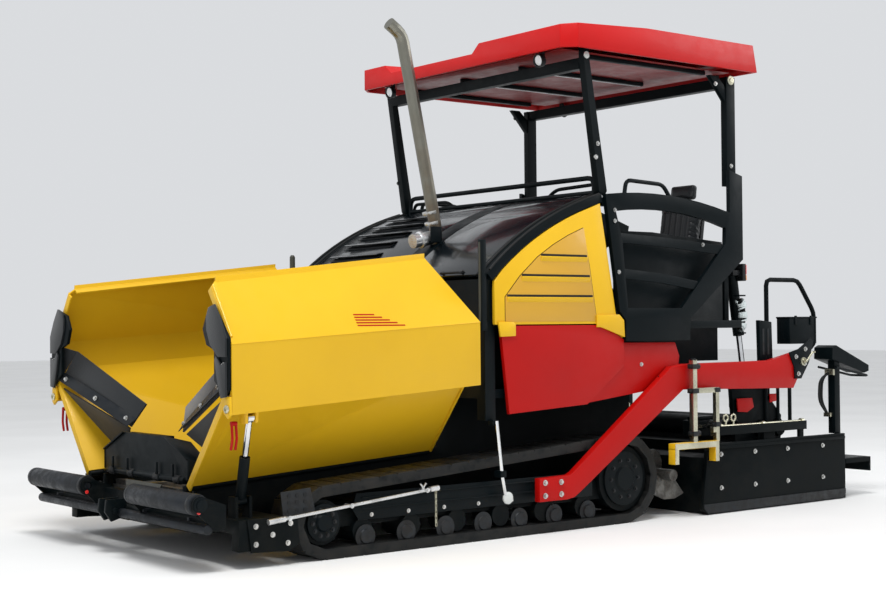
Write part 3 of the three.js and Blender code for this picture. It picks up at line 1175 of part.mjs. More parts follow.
function endPlate() {
  const y0 = END_PLATE_FRONT_Y;
  const y1 = y0 + END_PLATE_REACH;
  const top = END_PLATE_HEIGHT;
  const skin = plateYZ([
    [y0, SCREED_CLEAR_Z + 40], [y0 + 60, SCREED_CLEAR_Z], [y1, SCREED_CLEAR_Z], [y1, top],
    [y0 + 120, top], [y0 + 60, top - 60],
  ], END_PLATE_INNER_X, END_PLATE_OUTER_X);
  const bar = box([END_PLATE_INNER_X, END_PLATE_OUTER_X], [y0 + 130, y1 - 500], [top + 60, top + 130]);
  const legs = [y0 + 180, y1 - 560].map((y) =>
    box([END_PLATE_INNER_X + 5, END_PLATE_OUTER_X - 5], [y - 25, y + 25], [top - 1, top + 61]));
  return join(skin, bar, ...legs);
}

// The operator's console box on its post at the end of the screed.
function screedConsole() {
  const y = END_PLATE_FRONT_Y + END_PLATE_REACH - 60;
  const x = END_PLATE_OUTER_X - 60;
  const post = box([x - 35, x + 35], [y - 35, y + 35], [END_PLATE_HEIGHT + TOUCH, 1180]);
  const head = plateYZ([
    [y - 95, 1170], [y - 90, 1265], [y - 40, 1285], [y + 400, 1110], [y + 400, 1060], [y + 340, 1045],
  ], x - 130, x + 60);
  return join(post, head);
}

// The grade sensor's post, side arm and short ski, outside the end plate.
function gradeSensor() {
  const x = END_PLATE_OUTER_X + 45;
  const y = END_PLATE_FRONT_Y - 145;
  const rearY = END_PLATE_FRONT_Y + 110;
  const pieces = [
    box([x - 22, x + 22], [y - 22, y + 22], [570, 1200]),
    box([x - 18, x + 18], [y, rearY + 18], [945, 985]),
    box([x - 18, x + 18], [rearY - 18, rearY + 18], [570, 985]),
    box([END_PLATE_OUTER_X + TOUCH, x + 18], [rearY - 18, rearY + 18],
      [END_PLATE_HEIGHT + 62, END_PLATE_HEIGHT + 110]),
    box([x - 35, x + 35], [y - 240, rearY - 6], [530, 575]),
    box([x - 35, x + 35], [y - 240, y - 200], [420, 535]),
    box([x - 35, x + 35], [rearY - 46, rearY - 6], [420, 535]),
    box([x - 18, x + 18], [rearY - 50, rearY - 18], [640, 680]),
  ];
  return join(...pieces);
}

// ---------------------------------------------------------------- assembly

add('chassis_frame', BLACK, chassis());
addPair('track_frame', BLACK, trackFrame());
addPair('track', STEEL, track());
add('conveyor', STEEL, conveyor());
add('engine_block', STEEL, box([-ENGINE_WIDTH / 2, ENGINE_WIDTH / 2],
  [ENGINE_Y - ENGINE_LENGTH / 2, ENGINE_Y + ENGINE_LENGTH / 2],
  [DECK_Z + DECK_THICK + TOUCH, DECK_Z + DECK_THICK + ENGINE_HEIGHT]));
add('engine_bay_frame', BLACK, engineBayFrame());
add('left_hood_lid', GLOSS_BLACK, hoodLid(HOOD_STRIP_LEFT_X + RUN, LID_OUTER_X - RUN));
add('right_hood_lid', BLACK, hoodLid(-LID_OUTER_X + RUN, HOOD_STRIP_RIGHT_X - RUN));
add('exhaust_pipe', STAINLESS, exhaust());
addPair('side_door', YELLOW, sideDoor());
addPair('lower_panel', RED, lowerPanel());
add('operator_platform', BLACK, platform());
addPair('side_frame', BLACK, sideFrame());
add('control_console', BLACK, controlConsole());
addPair('seat', VINYL, seat());
add('front_handrail', BLACK, frontHandrail());

addPair('hopper_wing', YELLOW, wing());
addPair('wing_front_plate', BLACK, wingFrontPlate());
addPair('wing_flap', RUBBER, wingFlap());
addPair('hopper_cylinder_barrel', BLACK,
  cylinderBarrel(cylinderFoot, cylinderEye, CYLINDER_BARREL, CYLINDER_RADIUS, ROD_RADIUS, HINGE_LINE));
addPair('hopper_cylinder_rod', CHROME,
  cylinderRod(cylinderFoot, cylinderEye, CYLINDER_RADIUS * BORE_START + CYLINDER_STROKE + 1, ROD_RADIUS, 30,
    HINGE_LINE));
add('front_apron', BLACK, frontApron());
add('push_beam', BLACK, pushBeam());
addPair('push_roller', STEEL, pushRoller());

add('canopy_front_posts', BLACK, frontPosts());
add('canopy_rear_posts', BLACK, rearPosts());
add('canopy_roof', RED, roof());

addPair('tow_arm', RED, towArm());
addPair('lift_cylinder_barrel', BLACK,
  cylinderBarrel(liftTop, liftFoot, LIFT_BARREL, LIFT_RADIUS, LIFT_ROD_RADIUS, ACROSS));
addPair('lift_cylinder_rod', CHROME,
  cylinderRod(liftTop, liftFoot, LIFT_RADIUS * BORE_START + LIFT_STROKE + 1, LIFT_ROD_RADIUS, 38, ACROSS));
addPair('auger', STEEL, auger());
add('auger_case', BLACK, augerCase());
add('main_screed', BLACK, mainScreed());
add('left_screed_extension', BLACK, extension(GUIDE_Y.left));
add('right_screed_extension', BLACK, mirrored(extension(GUIDE_Y.right)));
addPair('end_plate', BLACK, endPlate());
addPair('screed_console', BLACK, screedConsole());
addPair('grade_sensor', ZINC, gradeSensor());

export default machine;
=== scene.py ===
# %% [markdown]
# # An asphalt paver, finished in Blender
#
# The machine takes hot asphalt mix in its folding hopper, carries it back under the engine and lays
# it down in front of a floating screed. The CAD frame gives every body its true place and size.
# This notebook adds the paint, the rubber, the worn steel and the small parts, piece by piece.
# Units are metres, +X is the machine's left side, +Y its rear and +Z up.

import json
from math import cos, pi, radians, sin

import bmesh
import bpy
from mathutils import Matrix, Vector
from mathutils.bvhtree import BVHTree


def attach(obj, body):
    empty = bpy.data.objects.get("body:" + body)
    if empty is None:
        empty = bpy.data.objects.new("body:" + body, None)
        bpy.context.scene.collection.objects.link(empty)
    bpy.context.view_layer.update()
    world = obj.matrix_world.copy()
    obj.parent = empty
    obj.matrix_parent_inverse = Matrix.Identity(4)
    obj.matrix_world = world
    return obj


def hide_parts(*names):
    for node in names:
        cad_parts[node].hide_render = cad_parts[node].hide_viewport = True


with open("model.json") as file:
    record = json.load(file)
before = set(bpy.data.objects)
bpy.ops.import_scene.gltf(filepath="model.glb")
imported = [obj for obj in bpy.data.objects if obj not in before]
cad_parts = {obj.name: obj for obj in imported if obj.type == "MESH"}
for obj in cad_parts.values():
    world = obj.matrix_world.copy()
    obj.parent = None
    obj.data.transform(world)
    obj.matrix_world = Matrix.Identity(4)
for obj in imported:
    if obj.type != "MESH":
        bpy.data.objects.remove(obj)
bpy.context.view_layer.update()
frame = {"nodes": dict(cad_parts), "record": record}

# %% [markdown]
# ## A small language for materials
#
# A procedural material is a graph of nodes. Wiring each one by hand hides the idea behind
# plumbing, so `Value` wraps a socket and turns Python's operators into Math nodes. `Finish` makes
# one material around a Principled shader, and its `node` method adds any other node.

# %% Sockets that add, multiply and compare
class Value:
    """A shader socket that behaves like a number in an expression."""

    def __init__(self, finish, socket):
        self.finish = finish
        self.socket = socket

    def math(self, operation, *others):
        return self.finish.node("ShaderNodeMath", {"operation": operation}, self, *others)

    def __add__(self, other):
        return self.math("ADD", other)

    def __sub__(self, other):
        return self.math("SUBTRACT", other)

    def __mul__(self, other):
        return self.math("MULTIPLY", other)

    def __truediv__(self, other):
        return self.math("DIVIDE", other)

    def __gt__(self, other):
        return self.math("GREATER_THAN", other)

    def __lt__(self, other):
        return self.math("LESS_THAN", other)

    def __rsub__(self, other):
        return self.finish.node("ShaderNodeMath", {"operation": "SUBTRACT"}, other, self)

    __radd__ = __add__
    __rmul__ = __mul__

    def ramp(self, low, high, to_low=0.0, to_high=1.0):
        """A smooth step from to_low to to_high while the value goes from low to high."""
        settings = {"interpolation_type": "SMOOTHSTEP"}
        return self.finish.node("ShaderNodeMapRange", settings, self, low, high, to_low, to_high)


class Finish:
    """A material with one Principled shader, whose sockets are set by name."""

    def __init__(self, name, **constants):
        self.material = bpy.data.materials.new(name)
        self.material.use_nodes = True
        self.tree = self.material.node_tree
        self.shader = self.tree.nodes["Principled BSDF"]
        self.set(**constants)
        self.place = self.node("ShaderNodeTexCoord", {}, out="Object")

    def feed(self, socket, value):
        if isinstance(value, Value):
            self.tree.links.new(value.socket, socket)
        elif isinstance(value, (tuple, list)) and socket.type == "RGBA":
            socket.default_value = (*value, 1.0)
        else:
            socket.default_value = value

    def set(self, **inputs):
        """Sets or links the shader's sockets: base_color stands for Base Color, and so on."""
        names = {key.lower().replace(" ", "_"): key for key in self.shader.inputs.keys()}
        for key, value in inputs.items():
            self.feed(self.shader.inputs[names[key]], value)
        return self

    def node(self, kind, settings, *values, out=0, **named):
        made = self.tree.nodes.new(kind)
        for key, value in settings.items():
            setattr(made, key, value)
        for index, value in enumerate(values):
            self.feed(made.inputs[index], value)
        for key, value in named.items():
            self.feed(made.inputs[key], value)
        return Value(self, made.outputs[out])

    def noise(self, scale, detail=3.0, stretch=(1, 1, 1), at=None, rough=0.5):
        """Cloudy noise over the piece, stretched along an axis where stretch is below 1."""
        place = at or self.node("ShaderNodeMapping", {}, self.place, Scale=stretch)
        named = {"Vector": place, "Scale": scale, "Detail": detail, "Roughness": rough}
        return self.node("ShaderNodeTexNoise", {}, **named)

    def axis(self, name):
        """The X, Y or Z of the piece, in metres."""
        return self.node("ShaderNodeSeparateXYZ", {}, self.place, out=name)

    def mix(self, first, second, share):
        """Blends two colours: share 0 gives the first, 1 the second."""
        made = self.tree.nodes.new("ShaderNodeMix")
        made.data_type = "RGBA"
        made.clamp_factor = True
        self.feed(made.inputs[0], share)
        self.feed(made.inputs[6], first)
        self.feed(made.inputs[7], second)
        return Value(self, made.outputs[2])

    def bump(self, height, distance, strength=1.0):
        """Small relief of a height that runs from 0 to 1 over a distance in metres."""
        named = {"Strength": strength, "Distance": distance, "Height": height}
        self.set(normal=self.node("ShaderNodeBump", {}, **named))
        return self


print("materials can be made")

# %% [markdown]
# ## Paint
#
# Machine paint is a glossy film with a faint orange peel. On a working machine it fades a little
# in clouds, gathers road dust low down and on upward faces, and dulls where the dust lies. Dust
# from the ground up is a smooth step on height, broken up by noise.

# %% Painted finishes
DUST = (0.3, 0.26, 0.21)


def paint(name, color, shade, roughness, coat, dust=0.25, dust_top=1.2, peel=0.0002, shine=0.5):
    finish = Finish(name, coat_roughness=0.08, coat_weight=coat, specular_ior_level=shine)
    clouds = finish.noise(1.6, 4.0)
    grime = finish.noise(9.0, 8.0, rough=0.65)
    low = finish.axis("Z").ramp(0.0, dust_top, 1.0, 0.0)
    facing = finish.node("ShaderNodeNewGeometry", {}, out="Normal")
    upward = finish.node("ShaderNodeSeparateXYZ", {}, facing, out="Z").ramp(0.4, 1.0)
    dusty = (low * 0.8 + upward * 0.35) * grime.ramp(0.38, 0.66) * dust
    tone = finish.mix(color, shade, clouds.ramp(0.35, 0.75) * 0.55)
    finish.set(base_color=finish.mix(tone, DUST, dusty))
    finish.set(roughness=dusty * 0.7 + grime.ramp(0.3, 0.7, roughness * 0.85, roughness * 1.25))
    return finish.bump(finish.noise(260.0, 2.0) + grime * 0.6, peel)


yellow_paint = paint("yellow_paint", (0.76, 0.45, 0.012), (0.68, 0.39, 0.01), 0.38, 0.08, dust=0.02,
                     shine=0.22)
# This darker yellow for the door's louvre field is painted shade: the real field is an inset.
inset_shade_yellow = paint("inset_shade_yellow", (0.6, 0.32, 0.012), (0.54, 0.28, 0.01), 0.38, 0.3, dust=0.04)
red_paint = paint("red_paint", (0.43, 0.002, 0.001), (0.37, 0.002, 0.001), 0.4, 0.0, dust=0.0, shine=0.2)
roof_paint = paint("roof_paint", (0.52, 0.003, 0.003), (0.46, 0.002, 0.002), 0.38, 0.05, dust=0.0,
                   shine=0.22)
# A darker red for the lining under the canopy roof: painted shade on the downward face.
roof_shade_red = paint("roof_shade_red", (0.22, 0.006, 0.006), (0.17, 0.005, 0.005), 0.45, 0.1, dust=0.02)
black_paint = paint("black_paint", (0.0015, 0.004, 0.005), (0.003, 0.006, 0.008), 0.42, 0.0, dust=0.01,
                    shine=0.11)
hood_paint = paint("hood_paint", (0.002, 0.004, 0.006), (0.004, 0.007, 0.009), 0.2, 0.35, dust=0.01)
chassis_paint = paint("chassis_paint", (0.0012, 0.003, 0.0035), (0.003, 0.005, 0.006), 0.5, 0.0,
                      dust=0.02, shine=0.09)
olive_paint = paint("olive_paint", (0.04, 0.042, 0.03), (0.03, 0.032, 0.024), 0.5, 0.1, dust=0.15)
print("paints made:", [m.name for m in bpy.data.materials if m.name.endswith("paint")])

# %% [markdown]
# ## Bare metals, rubber and vinyl
#
# Track shoes and slats are rolled steel, brown with rust where nothing rubs and bright where the
# ground does. Cylinder rods are chromed, the exhaust is stainless with a heat tint near its foot,
# and the spreader bars carry a yellow-green zinc coat.

# %% Metals
def worn_steel(name, bright, rust, share, dust=0.6):
    finish = Finish(name)
    patches = finish.noise(14.0, 9.0, rough=0.7)
    fine = finish.noise(160.0, 5.0)
    rusty = patches.ramp(0.42 - share * 0.2, 0.72 - share * 0.2)
    dusty = finish.noise(5.0, 6.0).ramp(0.45, 0.75) * dust
    tone = finish.mix(finish.mix(bright, rust, rusty), DUST, dusty)
    finish.set(base_color=tone, metallic=rusty * -0.6 + 0.85, roughness=rusty * 0.35 + 0.38)
    return finish.bump(fine * 0.5 + patches, 0.0008)


def bright_metal(name, color, roughness, brush=(1, 1, 1)):
    finish = Finish(name, metallic=1.0)
    streaks = finish.noise(220.0, 3.0, stretch=brush)
    clouds = finish.noise(7.0, 5.0)
    dim = tuple(channel * 0.72 for channel in color)
    finish.set(base_color=finish.mix(color, dim, clouds.ramp(0.4, 0.7)))
    finish.set(roughness=streaks.ramp(0.3, 0.7, roughness * 0.7, roughness * 1.4))
    return finish.bump(streaks, 0.00006)


track_steel = worn_steel("track_steel", (0.01, 0.012, 0.013), (0.006, 0.006, 0.005), 0.5, 0.03)
slat_steel = worn_steel("slat_steel", (0.16, 0.16, 0.15), (0.05, 0.045, 0.04), 0.3, 0.2)
roller_steel = worn_steel("roller_steel", (0.016, 0.02, 0.026), (0.008, 0.01, 0.012), 0.35, 0.0)
steel_dark = worn_steel("steel_dark", (0.03, 0.034, 0.038), (0.01, 0.01, 0.01), 0.4, 0.02)
strip_steel = worn_steel("strip_steel", (0.022, 0.026, 0.031), (0.01, 0.012, 0.014), 0.3, 0.02)
chrome_metal = bright_metal("chrome_metal", (0.78, 0.79, 0.8), 0.08, (1, 1, 0.05))
zinc_metal = bright_metal("zinc_metal", (0.62, 0.6, 0.46), 0.32)
bolt_metal = bright_metal("bolt_metal", (0.66, 0.66, 0.64), 0.3)
aluminium_metal = bright_metal("aluminium_metal", (0.72, 0.73, 0.73), 0.34, (0.1, 1, 1))

stainless = Finish("stainless_metal", metallic=1.0)
heat = stainless.axis("Z").ramp(2.1, 3.3, 1.0, 0.0) * stainless.noise(6.0, 4.0).ramp(0.3, 0.6)
silver = stainless.mix((0.27, 0.265, 0.225), (0.19, 0.185, 0.155), stainless.noise(10.0, 5.0))
stainless.set(base_color=stainless.mix(silver, (0.15, 0.1, 0.06), heat * 0.7))
stainless.set(roughness=stainless.noise(8.0, 3.0).ramp(0.3, 0.7, 0.3, 0.42))
stainless_metal = stainless.bump(stainless.noise(240.0, 2.0, stretch=(1, 1, 0.04)), 0.00002)
print("metals made")

# %% Rubber, vinyl, plastic and glowing lenses
def soft_black(name, color, pale, roughness, grain, depth, sheen=0.0):
    finish = Finish(name, sheen_weight=sheen, specular_ior_level=0.3)
    clouds = finish.noise(4.0, 6.0)
    cells = {"Vector": finish.place, "Scale": grain}
    skin = finish.node("ShaderNodeTexVoronoi", {"feature": "F1"}, **cells)
    scuff = finish.noise(24.0, 8.0, rough=0.7).ramp(0.55, 0.8)
    finish.set(base_color=finish.mix(color, pale, clouds.ramp(0.35, 0.8) * 0.5 + scuff * 0.25))
    finish.set(roughness=clouds.ramp(0.3, 0.7, roughness * 0.85, roughness * 1.15))
    return finish.bump(skin + clouds * 0.4, depth)


flap_rubber = soft_black("flap_rubber", (0.005, 0.007, 0.009), (0.016, 0.02, 0.023), 0.55, 90.0, 0.0004,
                         0.2)
seat_vinyl = soft_black("seat_vinyl", (0.006, 0.008, 0.01), (0.014, 0.017, 0.02), 0.42, 320.0, 0.0003, 0.1)
pale_plastic = soft_black("pale_plastic", (0.62, 0.64, 0.62), (0.5, 0.52, 0.5), 0.4, 300.0, 0.0002)
tread_grey = soft_black("tread_grey", (0.1, 0.105, 0.105), (0.18, 0.18, 0.175), 0.7, 60.0, 0.0008)
hose_white = soft_black("hose_white", (0.6, 0.66, 0.66), (0.35, 0.4, 0.41), 0.4, 200.0, 0.0003)
black_plastic = soft_black("black_plastic", (0.005, 0.006, 0.007), (0.012, 0.013, 0.015), 0.45, 420.0,
                           0.0002)
hose_rubber = soft_black("hose_rubber", (0.005, 0.006, 0.006), (0.014, 0.015, 0.015), 0.5, 300.0, 0.0002)


# Lens finishes glow a little by emission. On lamps that is their own light; the red one also covers
# reflectors, stop buttons and seat buckles, where the glow is painted light.
def lamp(name, color, glow):
    finish = Finish(name, transmission_weight=0.15, ior=1.49)
    ribs = finish.node("ShaderNodeTexWave", {"bands_direction": "Z"}, Vector=finish.place, Scale=42.0)
    pale = tuple(min(1.0, channel * 1.8 + 0.04) for channel in color)
    finish.set(base_color=finish.mix(color, pale, ribs * 0.6), roughness=ribs * 0.12 + 0.08)
    finish.set(emission_color=color, emission_strength=glow)
    return finish.bump(ribs, 0.001)


# The red lens glows with emission 0.08: lamp light on the tail lights, painted glow on the reflectors, stop
# buttons and seat buckles.
red_glow_lens = lamp("red_glow_lens", (0.62, 0.015, 0.012), 0.08)
clear_lens = lamp("clear_lens", (0.72, 0.76, 0.78), 0.1)
amber_lens = lamp("amber_lens", (0.75, 0.22, 0.01), 0.08)
screen_glass = lamp("screen_glass", (0.03, 0.06, 0.08), 0.02)
print("soft finishes and lamps made")

# %% [markdown]
# ## Dressing the CAD parts
#
# Each CAD node already has its true shape, so all it needs here is a better finish. A later cell
# copies it with softened edges, and the copy keeps this finish.

# %% A finish for every CAD node
FINISHES = {
    "chassis_frame": chassis_paint, "track_frame": chassis_paint, "track": track_steel,
    "conveyor": slat_steel, "engine_block": chassis_paint, "engine_bay_frame": black_paint,
    "hood_lid": hood_paint, "exhaust_pipe": stainless_metal, "side_door": yellow_paint,
    "lower_panel": red_paint, "operator_platform": black_paint, "side_frame": black_paint,
    "control_console": black_paint, "seat": seat_vinyl, "front_handrail": black_paint,
    "hopper_wing": yellow_paint, "wing_front_plate": black_paint, "wing_flap": flap_rubber,
    "hopper_cylinder_barrel": black_paint, "hopper_cylinder_rod": chrome_metal,
    "front_apron": black_paint, "push_beam": chassis_paint, "push_roller": roller_steel,
    "canopy_front_posts": black_paint, "canopy_rear_posts": black_paint, "canopy_roof": roof_paint,
    "tow_arm": red_paint, "lift_cylinder_barrel": black_paint, "lift_cylinder_rod": chrome_metal,
    "auger": slat_steel, "auger_case": chassis_paint, "main_screed": chassis_paint,
    "screed_extension": chassis_paint, "end_plate": chassis_paint, "screed_console": black_paint,
    "grade_sensor": zinc_metal,
}


def plain_name(node):
    for side in ("left_", "right_"):
        if node.startswith(side):
            return node[len(side):]
    return node


for node, thing in frame["nodes"].items():
    thing.data.materials.clear()
    thing.data.materials.append(FINISHES[plain_name(node)].material)
print(len(frame["nodes"]), "CAD nodes dressed")

# %% [markdown]
# ## Tools for building pieces
#
# Every small part starts as a simple form: a box, a rod, a plate cut from a flat outline, a bent
# tube or a turned profile. Each tool below returns a bmesh, several of them join into one piece,
# and `piece` finishes it: it merges doubles, turns the faces outward, breaks the sharp edges with
# a narrow bevel and lets the piece ride on its body.

# %% Box, rod and plate
def box(x, y, z):
    """A block between two values on each axis."""
    mesh = bmesh.new()
    bmesh.ops.create_cube(mesh, size=1.0)
    bmesh.ops.scale(mesh, vec=(x[1] - x[0], y[1] - y[0], z[1] - z[0]), verts=mesh.verts)
    middle = ((x[0] + x[1]) / 2, (y[0] + y[1]) / 2, (z[0] + z[1]) / 2)
    bmesh.ops.translate(mesh, vec=middle, verts=mesh.verts)
    return mesh


def rod(start, end, radius, far_radius=None, sides=20):
    """A straight round bar or cone between two points."""
    start, end = Vector(start), Vector(end)
    mesh = bmesh.new()
    far = radius if far_radius is None else far_radius
    size = (end - start).length
    bmesh.ops.create_cone(mesh, cap_ends=True, segments=sides, radius1=radius, radius2=far, depth=size)
    turn = (end - start).to_track_quat("Z", "Y").to_matrix()
    bmesh.ops.rotate(mesh, cent=(0, 0, 0), matrix=turn, verts=mesh.verts)
    bmesh.ops.translate(mesh, vec=(start + end) / 2, verts=mesh.verts)
    return mesh


def plate(outline, along):
    """A flat outline of points, given thickness by an extrusion."""
    mesh = bmesh.new()
    face = mesh.faces.new([mesh.verts.new(point) for point in outline])
    moved = bmesh.ops.extrude_face_region(mesh, geom=[face], use_keep_orig=True)["geom"]
    corners = [part for part in moved if isinstance(part, bmesh.types.BMVert)]
    bmesh.ops.translate(mesh, vec=along, verts=corners)
    return mesh


def side_plate(outline, x0, x1):
    """A plate that stands in the machine's side plane, from (y, z) points."""
    return plate([(x0, y, z) for y, z in outline], (x1 - x0, 0, 0))


print("box, rod and plate are ready")

# %% Bent tube, turned profile, hex bolt
def tube(points, radius, sides=10, closed=False):
    """A round tube bent through points."""
    curve = bpy.data.curves.new("bend", "CURVE")
    curve.dimensions = "3D"
    curve.bevel_depth = radius
    curve.bevel_resolution = max(1, sides // 4)
    curve.use_fill_caps = not closed
    line = curve.splines.new("POLY")
    line.points.add(len(points) - 1)
    for knot, point in zip(line.points, points):
        knot.co = (*point, 1.0)
    line.use_cyclic_u = closed
    holder = bpy.data.objects.new("bend", curve)
    mesh = bmesh.new()
    bent = bpy.data.meshes.new_from_object(holder)
    mesh.from_mesh(bent)
    bpy.data.meshes.remove(bent)
    bpy.data.objects.remove(holder)
    bpy.data.curves.remove(curve)
    return mesh


def rounded(points, reach, steps=5):
    """The same line of points with its corners turned into short bends."""
    points = [Vector(point) for point in points]
    line = [points[0]]
    for before, here, after in zip(points, points[1:], points[2:]):
        start = here + (before - here).normalized() * reach
        end = here + (after - here).normalized() * reach
        for step in range(steps + 1):
            t = step / steps
            line.append(start.lerp(here, t).lerp(here.lerp(end, t), t))
    return line + [points[-1]]


def turned(start, end, profile, sides=28):
    """Spins (distance, radius) steps about the line from start to end."""
    start, end = Vector(start), Vector(end)
    axis = (end - start).normalized()
    out = axis.orthogonal().normalized()
    mesh = bmesh.new()
    corners = [mesh.verts.new(start + axis * run + out * radius) for run, radius in profile]
    edges = [mesh.edges.new(pair) for pair in zip(corners, corners[1:])]
    bmesh.ops.spin(
        mesh, geom=corners + edges, cent=start, axis=axis, angle=2 * pi, steps=sides, use_merge=True,
    )
    bmesh.ops.remove_doubles(mesh, verts=mesh.verts, dist=0.00002)
    return mesh


def bolt(place, outward, size=0.016):
    """A hexagon head on a washer; size is the head's width in metres."""
    place, outward = Vector(place), Vector(outward).normalized()
    washer = rod(place - outward * 0.002, place + outward * size * 0.18, size * 0.8, sides=12)
    head = rod(place + outward * size * 0.16, place + outward * size * 0.65, size * 0.58, size * 0.52, 6)
    return join(washer, head)


def join(*meshes):
    """Puts several bmeshes into one."""
    whole = bmesh.new()
    for mesh in meshes:
        data = bpy.data.meshes.new("part")
        mesh.to_mesh(data)
        mesh.free()
        whole.from_mesh(data)
        bpy.data.meshes.remove(data)
    return whole


def across(mesh, side):
    """The mesh itself for the left side, and its mirror image for the right side."""
    if side < 0:
        bmesh.ops.scale(mesh, vec=(-1, 1, 1), verts=mesh.verts)
        bmesh.ops.reverse_faces(mesh, faces=mesh.faces)
    return mesh


print("tube, turned profile and bolt are ready")

# %% Finish a piece and let it ride
SIDES = (("left", 1), ("right", -1))
SAME_POINT = 0.00003
SHARP_EDGE = 0.6
SMOOTH_UNDER = radians(28)


def piece(name, body, finish, *meshes, soften=0.002):
    """One finished piece: clean, facing outward, edges broken, riding on its body."""
    whole = join(*meshes)
    bmesh.ops.remove_doubles(whole, verts=whole.verts, dist=SAME_POINT)
    bmesh.ops.recalc_face_normals(whole, faces=whole.faces)
    if soften:
        sharp = [e for e in whole.edges if len(e.link_faces) == 2 and e.calc_face_angle(0) > SHARP_EDGE]
        bmesh.ops.bevel(
            whole, geom=sharp, offset=soften, segments=2, profile=0.5, affect="EDGES",
            clamp_overlap=True, material=-1,
        )
    data = bpy.data.meshes.new(name)
    whole.to_mesh(data)
    whole.free()
    data.shade_smooth()
    data.set_sharp_from_angle(angle=SMOOTH_UNDER)
    data.materials.append(finish.material)
    made = bpy.data.objects.new(name, data)
    bpy.context.scene.collection.objects.link(made)
    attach(made, body)
    return made


def pair(name, body, finish, *meshes, soften=0.002):
    """The same piece on both sides; a * in the body's name stands for the side."""
    for side, sign in SIDES:
        own = [across(mesh.copy(), sign) for mesh in meshes]
        piece(f"{side}_{name}", body.replace("*", side), finish, *own, soften=soften)
    for mesh in meshes:
        mesh.free()


print("pieces can be finished")

# %% Find the surface of a CAD part
TREES = {}


def landing(node, start, toward):
    """Where a line from start first meets a CAD node, and that surface's outward normal."""
    if node not in TREES:
        data = frame["nodes"][node].data
        corners = [vertex.co for vertex in data.vertices]
        TREES[node] = BVHTree.FromPolygons(corners, [list(face.vertices) for face in data.polygons])
    toward = Vector(toward).normalized()
    place, normal, _, _ = TREES[node].ray_cast(Vector(start), toward)
    if place is None:
        print("nothing met on", node, "from", tuple(round(v, 3) for v in start))
        return None
    return place, (normal if normal.dot(toward) < 0 else -normal)


def body_of(node):
    return next(name for name, nodes in BODIES.items() if node in nodes)


BODIES = frame["record"]["behaviour"]["bodies"]


def bolts(name, node, toward, starts, size=0.018, finish=None):
    """Bolts set where lines in one direction meet a CAD node, as one piece."""
    found = [landing(node, start, toward) for start in starts]
    heads = [bolt(*hit, size) for hit in found if hit]
    if heads:
        piece(name, body_of(node), finish or bolt_metal, *heads, soften=0)


def bolts_both(name, node, toward, starts, size=0.018, finish=None):
    """The same bolts on the left and on the right part."""
    for side, sign in SIDES:
        line = (toward[0] * sign, toward[1], toward[2])
        points = [(x * sign, y, z) for x, y, z in starts]
        own = node if node in frame["nodes"] else f"{side}_{node}"
        bolts(f"{side}_{name}", own, line, points, size, finish)


print("bodies:", len(BODIES))

# %% [markdown]
# ## Edges that catch the light
#
# Plate and castings never have knife edges. Each CAD part is copied, cleaned and given a bevel of
# two or three millimetres, and the copy stands in for the CAD part. The seats are left out: they
# are made as real cushions further down.

# %% Soft-edged copies of the CAD parts
WIDE_EDGES = {"canopy_roof": 0.012, "hopper_wing": 0.005, "side_door": 0.005, "tow_arm": 0.005}
WIDE_EDGES.update({"lower_panel": 0.004, "front_apron": 0.006, "push_roller": 0.005})
shell_faces = 0
for node, thing in frame["nodes"].items():
    kind = plain_name(node)
    if kind == "seat":
        continue
    copy = bmesh.new()
    copy.from_mesh(thing.data)
    bmesh.ops.remove_doubles(copy, verts=copy.verts, dist=0.00005)
    bmesh.ops.dissolve_limit(copy, angle_limit=0.008, verts=copy.verts, edges=copy.edges)
    width = WIDE_EDGES.get(kind, 0.0025)
    shell = piece(f"{node}_shell", body_of(node), FINISHES[kind], copy, soften=width)
    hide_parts(node)
    shell_faces += len(shell.data.polygons)
print("soft-edged copies have", shell_faces, "faces")

# %% [markdown]
# ## Bolts
#
# A bolt's place is given as a line toward the machine: the bolt lands where the line first meets
# the part, and stands along the surface there. So no bolt floats and none is buried.

# %% Bolts on the hopper, the nose and the beam
IN = (-1, 0, 0)
BACK = (0, 1, 0)
DOWN = (0, 0, -1)
EAR = [(1.22, -3.3, z) for z in (1.1, 1.25, 1.4)] + [(1.12, -3.3, 1.53)]
bolts_both("plate_bolts", "wing_front_plate", BACK, EAR, 0.022)
bolts_both("fender_bolts", "lower_panel", IN, [(1.5, 0.55, 1.175), (1.5, 0.88, 1.135)], 0.02)
PANEL = [(1.5, -0.79, 0.915), (1.5, -0.79, 0.945)]
bolts_both("panel_bolts", "lower_panel", IN, PANEL, 0.017)
DOOR = [(1.5, -0.845, 1.435), (1.5, 0.3, 1.415)]
bolts_both("door_bolts", "side_door", IN, DOOR, 0.018)
TOW = [(1.5, -0.485, 0.367), (1.5, -0.333, 0.363), (1.5, -0.485, 0.276), (1.5, -0.333, 0.278)]
bolts_both("tow_bolts", "tow_arm", IN, TOW, 0.026)

# %% Bolts on the platform, the rails and the posts
RAIL = [(1.5, 0.245, 2.315), (1.5, 0.245, 2.235), (1.5, 1.2, 2.085), (1.5, 0.28, 1.86)]
bolts_both("rail_bolts", "side_frame", IN, RAIL, 0.02)
POST_FEET = [(1.5, 0.12, 2.8), (1.5, 0.1, 2.7)]
bolts_both("post_bolts", "canopy_front_posts", IN, POST_FEET, 0.022)
REAR_FEET = [(1.5, 1.58, 2.72), (1.5, 1.6, 2.62), (1.5, 1.42, 3.36)]
bolts_both("rear_post_bolts", "canopy_rear_posts", IN, REAR_FEET, 0.022)
PLATE = [(1.5, y, z) for y in (1.35, 1.75, 2.15, 2.6) for z in (0.46, 0.2)]
bolts_both("end_plate_bolts", "end_plate", IN, PLATE, 0.024)

